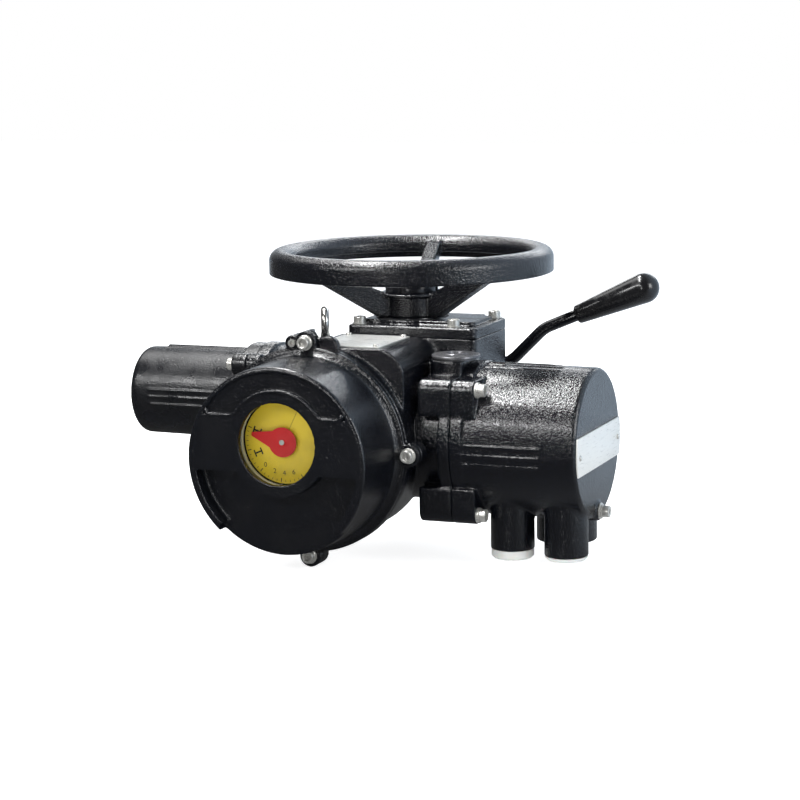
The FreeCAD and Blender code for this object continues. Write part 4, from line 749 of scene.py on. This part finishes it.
PLATE_ALUMINIUM = metal(
    "brushed_sheet", (0.8, 0.8, 0.77), 0.34, mottle=0.08, grain=0.000008, across=(0.03, 1.0, 1.0),
    bare=0.5,
)
END_ALUMINIUM = metal(
    "brushed_band", (0.82, 0.82, 0.79), 0.36, mottle=0.08, grain=0.000008, across=(1.0, 0.03, 1.0),
    bare=0.35,
)
finish(PLATE_ALUMINIUM, "body_plate")
finish(END_ALUMINIUM, "terminal_plate")
break_edges(0.0003, "body_plate", "terminal_plate")
RIVET = [(0, -0.4), (2.9, -0.4), (3.0, 0.2), (2.7, 0.9), (2.0, 1.5), (1.1, 1.8), (0, 1.9)]
PLATE_SCREW = [
    (0, -0.4), (3.0, -0.4), (3.1, 0.4), (3.0, 1.9), (2.6, 2.3), (1.6, 2.4), (1.5, 1.2, "hex"),
    (0, 1.0),
]
PLATE_TOP = 168.2
PLATE_SCREWS = ((-45.0, -134.0), (-44.5, -67.0), (16.5, -67.0), (16.5, -141.5))
BAND_FRONT = 226.0
RIVET_OUT = 64.0
RIVET_DOWN = 4.0


def plate_fixings():
    """Four screws on the shoulder's plate and two rivets on the band, as one piece."""
    shape = bmesh.new()
    for x, y in PLATE_SCREWS:
        turned(shape, at(UPRIGHT, x, y, PLATE_TOP, x), PLATE_SCREW)
    for x in (-RIVET_OUT, RIVET_OUT):
        turned(shape, at(TERMINAL, x, -RIVET_DOWN, BAND_FRONT), RIVET)
    new_piece("plate_fixings", shape, ZINC, "root")


plate_fixings()


# Position dial
# A yellow dial behind the window, printed with marks and numbers, a red enamelled pointer disc
# with one arm, and a fine wire hand.

DIAL_FRONT = 229.0
DIAL_UP = 18.4
INK_HIGH = 0.08


def stained_paint(name, colour, stain, roughness):
    """Printed or enamelled paint with faint stains."""
    material, tree, surface = new_material(name, Roughness=roughness)
    cloud = noise(tree, object_place(tree), 45.0, detail=5.0, roughness=0.6)
    stained = blended(tree, ranged(tree, cloud, 0.45, 0.8, 0.0, 0.5), colour, stain)
    tree.links.new(stained, surface.inputs["Base Color"])
    return material


DIAL_YELLOW = stained_paint("dial_yellow", (0.74, 0.5, 0.025, 1), (0.5, 0.33, 0.03, 1), 0.4)
POINTER_RED = stained_paint("pointer_red", (0.55, 0.016, 0.018, 1), (0.34, 0.012, 0.014, 1), 0.3)
DIAL_INK = stained_paint("dial_ink", (0.015, 0.015, 0.015, 1), (0.06, 0.05, 0.03, 1), 0.5)
finish(DIAL_YELLOW, "indicator_dial")
finish(POINTER_RED, "pointer")
break_edges(0.0003, "indicator_dial", "pointer")


def on_dial(x, y, turn):
    """A place on the dial, measured from its centre, half way up the ink."""
    return at(FRONT, x, y + DIAL_UP, DIAL_FRONT + INK_HIGH / 2, turn)


def dial_bar(shape, r_in, r_out, degrees, wide):
    """Adds a thin printed bar that points away from the dial's centre."""
    middle = Matrix.Translation(((r_in + r_out) / 2, 0, 0))
    size = Matrix.Diagonal((r_out - r_in, wide, INK_HIGH, 1))
    bmesh.ops.create_cube(shape, size=1.0, matrix=on_dial(0, 0, degrees) @ middle @ size)


NUMBER_R = 31.5
NUMBER_HIGH = 7.0


def dial_number(words, degrees):
    """Prints a number upright on the dial, with its middle at an angle."""
    letters = bpy.data.curves.new("dial_number_" + words, "FONT")
    letters.body = words
    letters.size = NUMBER_HIGH
    letters.align_x = "CENTER"
    letters.align_y = "CENTER"
    letters.extrude = INK_HIGH / 2
    holder = bpy.data.objects.new("dial_number_" + words, letters)
    mesh = bpy.data.meshes.new_from_object(holder)
    bpy.data.objects.remove(holder)
    mesh.transform(on_dial(*on_circle(NUMBER_R, degrees), 0.0))
    shape = bmesh.new()
    shape.from_mesh(mesh)
    new_piece("dial_number_" + words, shape, DIAL_INK, "root")


MARK_OUT = 40.5
MARKS_FROM = 160.0
MARK_EVERY = 7.0
BAR_IN = 25.5
BAR_OUT = 34.5
SERIF = 1.5
SERIF_WIDE = 7.0


def print_dial():
    """Prints the marks, two bars with serifs and the numbers, and lays the wire hand over them."""
    scale = bmesh.new()
    for step in range(21):
        mark_in, wide = (38.2, 0.5) if step % 5 else (36.5, 0.9)
        dial_bar(scale, mark_in, MARK_OUT, MARKS_FROM + step * MARK_EVERY, wide)
    for degrees in (161.0, 203.0):
        dial_bar(scale, BAR_IN, BAR_OUT, degrees, 1.6)
        dial_bar(scale, BAR_IN, BAR_IN + SERIF, degrees, SERIF_WIDE)
        dial_bar(scale, BAR_OUT - SERIF, BAR_OUT, degrees, SERIF_WIDE)
    new_piece("dial_scale", scale, DIAL_INK, "root")
    for words, degrees in (("0", 230.0), ("2", 251.0), ("4", 270.0), ("6", 289.0)):
        dial_number(words, degrees)
    hand = bmesh.new()
    dial_bar(hand, 12.0, 39.0, 64.0, 0.35)
    new_piece("wire_hand", hand, DIAL_INK, "root")


print_dial()


# Window
# A thick disc of toughened glass held in the cover behind a ring. Light passes straight through
# it, with a faint reflection.

def make_window_glass():
    """Clear glass that dims what lies behind it a little and shines where it is seen aslant."""
    material, tree, surface = new_material("window_glass")
    tree.nodes.remove(surface)
    result = tree.nodes["Material Output"]
    clear = shader(tree, "BsdfTransparent", Color=(0.93, 0.95, 0.94, 1))
    shine = shader(tree, "BsdfGlossy", Color=(0.9, 0.95, 1.0, 1), Roughness=0.03)
    facing = shader(tree, "Fresnel", IOR=1.35).outputs[0]
    seen = tree.nodes.new("ShaderNodeLightPath").outputs["Is Camera Ray"]
    amount = maths(tree, "MULTIPLY", maths(tree, "MULTIPLY", facing, 0.6), seen)
    mix = shader(tree, "MixShader", Fac=amount)
    tree.links.new(clear.outputs[0], mix.inputs[1])
    tree.links.new(shine.outputs[0], mix.inputs[2])
    tree.links.new(mix.outputs[0], result.inputs["Surface"])
    return material


finish(make_window_glass(), "window_glass")
break_edges(COARSE_EDGE, "window_glass")


# Cable entry plugs
# Two transit plugs moulded in white polyethylene. They are pushed into the two front entries and
# keep them closed until cables are fitted.

def plain_plastic(name, colour, roughness, milky=0.0):
    """Moulded plastic with a faint orange-peel surface; milky is how far light sinks into it."""
    material, tree, surface = new_material(name, Base_Color=colour, Subsurface_Weight=milky)
    place = object_place(tree)
    cloud = noise(tree, place, 150.0, detail=4.0)
    gloss = ranged(tree, cloud, 0.3, 0.7, roughness * 0.8, roughness * 1.2)
    tree.links.new(gloss, surface.inputs["Roughness"])
    add_bump(tree, surface, noise(tree, place, 700.0), 0.00003)
    return material


PLUG_WHITE = plain_plastic("white_polyethylene", (0.78, 0.78, 0.75, 1), 0.42, milky=0.1)
finish(PLUG_WHITE, "cable_entry_plugs")
break_edges(0.0012, "cable_entry_plugs")


# Seals
# Lip seals of nitrile rubber close the foot and the lid round their shafts, and cords of the same
# rubber lie in the joints of the two covers.

RUBBER = plain_plastic("nitrile_rubber", (0.012, 0.012, 0.013, 1), 0.6)
finish(RUBBER, "base_seal", "hand_seal", "joint_seals")
break_edges(0.0003, "base_seal", "hand_seal", "joint_seals")


# Control gear behind the cover
# The indicator gearbox is cast in light alloy, the two switch units are moulded in phenolic, and
# the circuit board is lacquered green. All of them are screwed to the backplate.

PHENOLIC = plain_plastic("switch_phenolic", (0.02, 0.019, 0.018, 1), 0.35)
UNIT_CASTING = metal("unit_casting", (0.42, 0.42, 0.43), 0.48, mottle=0.2, grain=0.00006)
finish(PHENOLIC, "limit_switch_unit", "torque_switch_unit")
finish(UNIT_CASTING, "indicator_unit")
break_edges(COARSE_EDGE, "limit_switch_unit", "torque_switch_unit", "indicator_unit", "control_board")


def make_board_material():
    """Green lacquer over copper tracks."""
    material, tree, surface = new_material("board_lacquer", Roughness=0.25, Coat_Weight=0.4)
    tracks = shader(tree, "TexBrick", Vector=object_place(tree), Scale=220.0).outputs["Fac"]
    green = blended(tree, tracks, (0.012, 0.11, 0.035, 1), (0.02, 0.2, 0.06, 1))
    tree.links.new(green, surface.inputs["Base Color"])
    add_bump(tree, surface, tracks, 0.00003)
    return material


finish(make_board_material(), "control_board")


# Terminal board
# A round board moulded in grey nylon, with barriers between its rows of studs. It closes the
# terminal neck behind its cover.

finish(plain_plastic("grey_nylon", (0.2, 0.21, 0.22, 1), 0.45), "terminal_board")
break_edges(COARSE_EDGE, "terminal_board")


# Motor windings
# Varnished copper wire, wound through the stator's slots. Only the rings at both ends of the
# laminated stack are modelled.

def make_winding_material():
    """Copper strands that run round the motor's axis under varnish."""
    material, tree, surface = new_material(
        "varnished_copper", Metallic=0.9, Roughness=0.3, Coat_Weight=0.4
    )
    strands = tree.nodes.new("ShaderNodeTexWave")
    strands.wave_type = "RINGS"
    strands.rings_direction = "X"
    tree.links.new(object_place(tree), strands.inputs["Vector"])
    strands.inputs["Scale"].default_value = 260.0
    strands.inputs["Distortion"].default_value = 6.0
    copper = blended(tree, strands.outputs["Fac"], (0.25, 0.08, 0.03, 1), (0.65, 0.27, 0.12, 1))
    tree.links.new(copper, surface.inputs["Base Color"])
    add_bump(tree, surface, strands.outputs["Fac"], 0.0003)
    return material


finish(make_winding_material(), "stator_windings")
break_edges(0.001, "stator_windings")


# Stage and lights
# The studio floor and backdrop are plain white. A long soft box hangs overhead, a smaller one
# stands in front to the left, a weak one at the right, a broad one and a long one behind, and a
# narrow upright one in front.

FLOOR_WIDE = 14.0
FLOOR_BELOW = 0.0005
FLOOR_GLOW = 0.25
SEEN_GLOW = 0.6
FRONT_GLOW = 0.09
BACK_GLOW = 0.85
PLAIN_WHITE = (1, 1, 1, 1)
COOL_WHITE = (0.7, 0.84, 1, 1)
bpy.ops.mesh.primitive_plane_add(size=FLOOR_WIDE, location=(0, 0, cad_box[0].z - FLOOR_BELOW))
floor = bpy.context.object
floor.name = "floor"


def far_right(tree, place):
    """Goes from 0 at the front left to 1 at the back right, for the reflections of the studio."""
    split = tree.nodes.new("ShaderNodeSeparateXYZ")
    tree.links.new(place, split.inputs[0])
    across = maths(tree, "ADD", split.outputs["X"], split.outputs["Y"])
    return ranged(tree, across, -0.2, 1.0)


def reflected(tree, side):
    """How bright the studio looks in reflections: dim in front, brighter at the back right."""
    return maths(tree, "ADD", maths(tree, "MULTIPLY", side, BACK_GLOW), FRONT_GLOW)


def seen_straight(tree):
    """1 for camera rays, also through the window, and 0 for the others."""
    path = tree.nodes.new("ShaderNodeLightPath").outputs
    return maths(tree, "MAXIMUM", path["Is Camera Ray"], path["Is Transmission Ray"])


def make_floor_material():
    """White paper: plain white to the camera apart from shadows, and dimmer in reflections."""
    material, tree, surface = new_material("floor_white")
    tree.nodes.remove(surface)
    place = object_place(tree)
    lit = shader(tree, "BsdfDiffuse", Color=(0.85, 0.85, 0.85, 1))
    seen = maths(tree, "MULTIPLY", seen_straight(tree), SEEN_GLOW)
    glow = shader(tree, "Emission", Strength=maths(tree, "ADD", seen, FLOOR_GLOW))
    both = tree.nodes.new("ShaderNodeAddShader")
    tree.links.new(lit.outputs[0], both.inputs[0])
    tree.links.new(glow.outputs[0], both.inputs[1])
    side = far_right(tree, place)
    mirrored = shader(tree, "Emission", Strength=reflected(tree, side))
    tree.links.new(blended(tree, side, PLAIN_WHITE, COOL_WHITE), mirrored.inputs["Color"])
    path = tree.nodes.new("ShaderNodeLightPath")
    mix = shader(tree, "MixShader", Fac=path.outputs["Is Glossy Ray"])
    tree.links.new(both.outputs[0], mix.inputs[1])
    tree.links.new(mirrored.outputs[0], mix.inputs[2])
    tree.links.new(mix.outputs[0], tree.nodes["Material Output"].inputs["Surface"])
    return material


floor.data.materials.append(make_floor_material())


def make_world():
    """A white backdrop to the camera, and a dimmer studio in reflections."""
    world = bpy.data.worlds.new("studio")
    bpy.context.scene.world = world
    world.use_nodes = True
    tree = world.node_tree
    direction = tree.nodes.new("ShaderNodeTexCoord").outputs["Generated"]
    side = far_right(tree, direction)
    straight = seen_straight(tree)
    strength = maths(tree, "MAXIMUM", straight, reflected(tree, side))
    cool = maths(tree, "MULTIPLY", side, maths(tree, "SUBTRACT", 1.0, straight))
    background = tree.nodes["Background"]
    tree.links.new(blended(tree, cool, PLAIN_WHITE, COOL_WHITE), background.inputs["Color"])
    tree.links.new(strength, background.inputs["Strength"])


make_world()


TARGET = Vector((0.00829, -0.05916, 0.10043))


def soft_box(name, place, wide, high, power):
    """A rectangular soft box aimed at the middle of the object."""
    lamp = bpy.data.lights.new(name, "AREA")
    lamp.shape = "RECTANGLE"
    lamp.size = wide
    lamp.size_y = high
    lamp.energy = power
    box = bpy.data.objects.new(name, lamp)
    bpy.context.scene.collection.objects.link(box)
    box.location = place
    box.rotation_euler = (TARGET - Vector(place)).to_track_quat("-Z", "Y").to_euler()


soft_box("overhead", (-0.45, -0.1, 1.6), 1.6, 0.18, 38)
soft_box("front_left", (-0.7, -1.5, 1.0), 1.2, 0.2, 13)
soft_box("right", (1.5, -0.5, 0.7), 0.5, 0.7, 8)
soft_box("back_left", (-1.0, 0.35, 1.45), 0.8, 0.9, 5)
soft_box("behind", (-0.2, 1.7, 0.95), 1.8, 0.4, 9)
soft_box("front_strip", (0.1, -2.0, 0.45), 0.1, 0.7, 3)


# Camera
# A long lens looks from the front right and from slightly above, at the point that lies in the
# middle of the picture.

PICTURE_WIDE = 800
FOCAL_PIXELS = 2384.87
SENSOR = 36.0
AZIMUTH, ELEVATION, ROLL = (math.radians(a) for a in (21.96, 9.32, -0.94))
DISTANCE = 2.48101
camera_data = bpy.data.cameras.new("camera")
camera = bpy.data.objects.new("camera", camera_data)
bpy.context.scene.collection.objects.link(camera)
back = Vector((
    math.sin(AZIMUTH) * math.cos(ELEVATION),
    -math.cos(AZIMUTH) * math.cos(ELEVATION),
    math.sin(ELEVATION),
))
camera.location = TARGET + back * DISTANCE
level = (-back).to_track_quat("-Z", "Y").to_matrix().to_4x4()
camera.matrix_world = Matrix.Translation(camera.location) @ level @ Matrix.Rotation(ROLL, 4, "Z")
camera_data.sensor_width = SENSOR
camera_data.lens = FOCAL_PIXELS / PICTURE_WIDE * SENSOR
camera_data.clip_end = 20.0
bpy.context.scene.camera = camera

bpy.context.scene.view_settings.view_transform = "Standard"
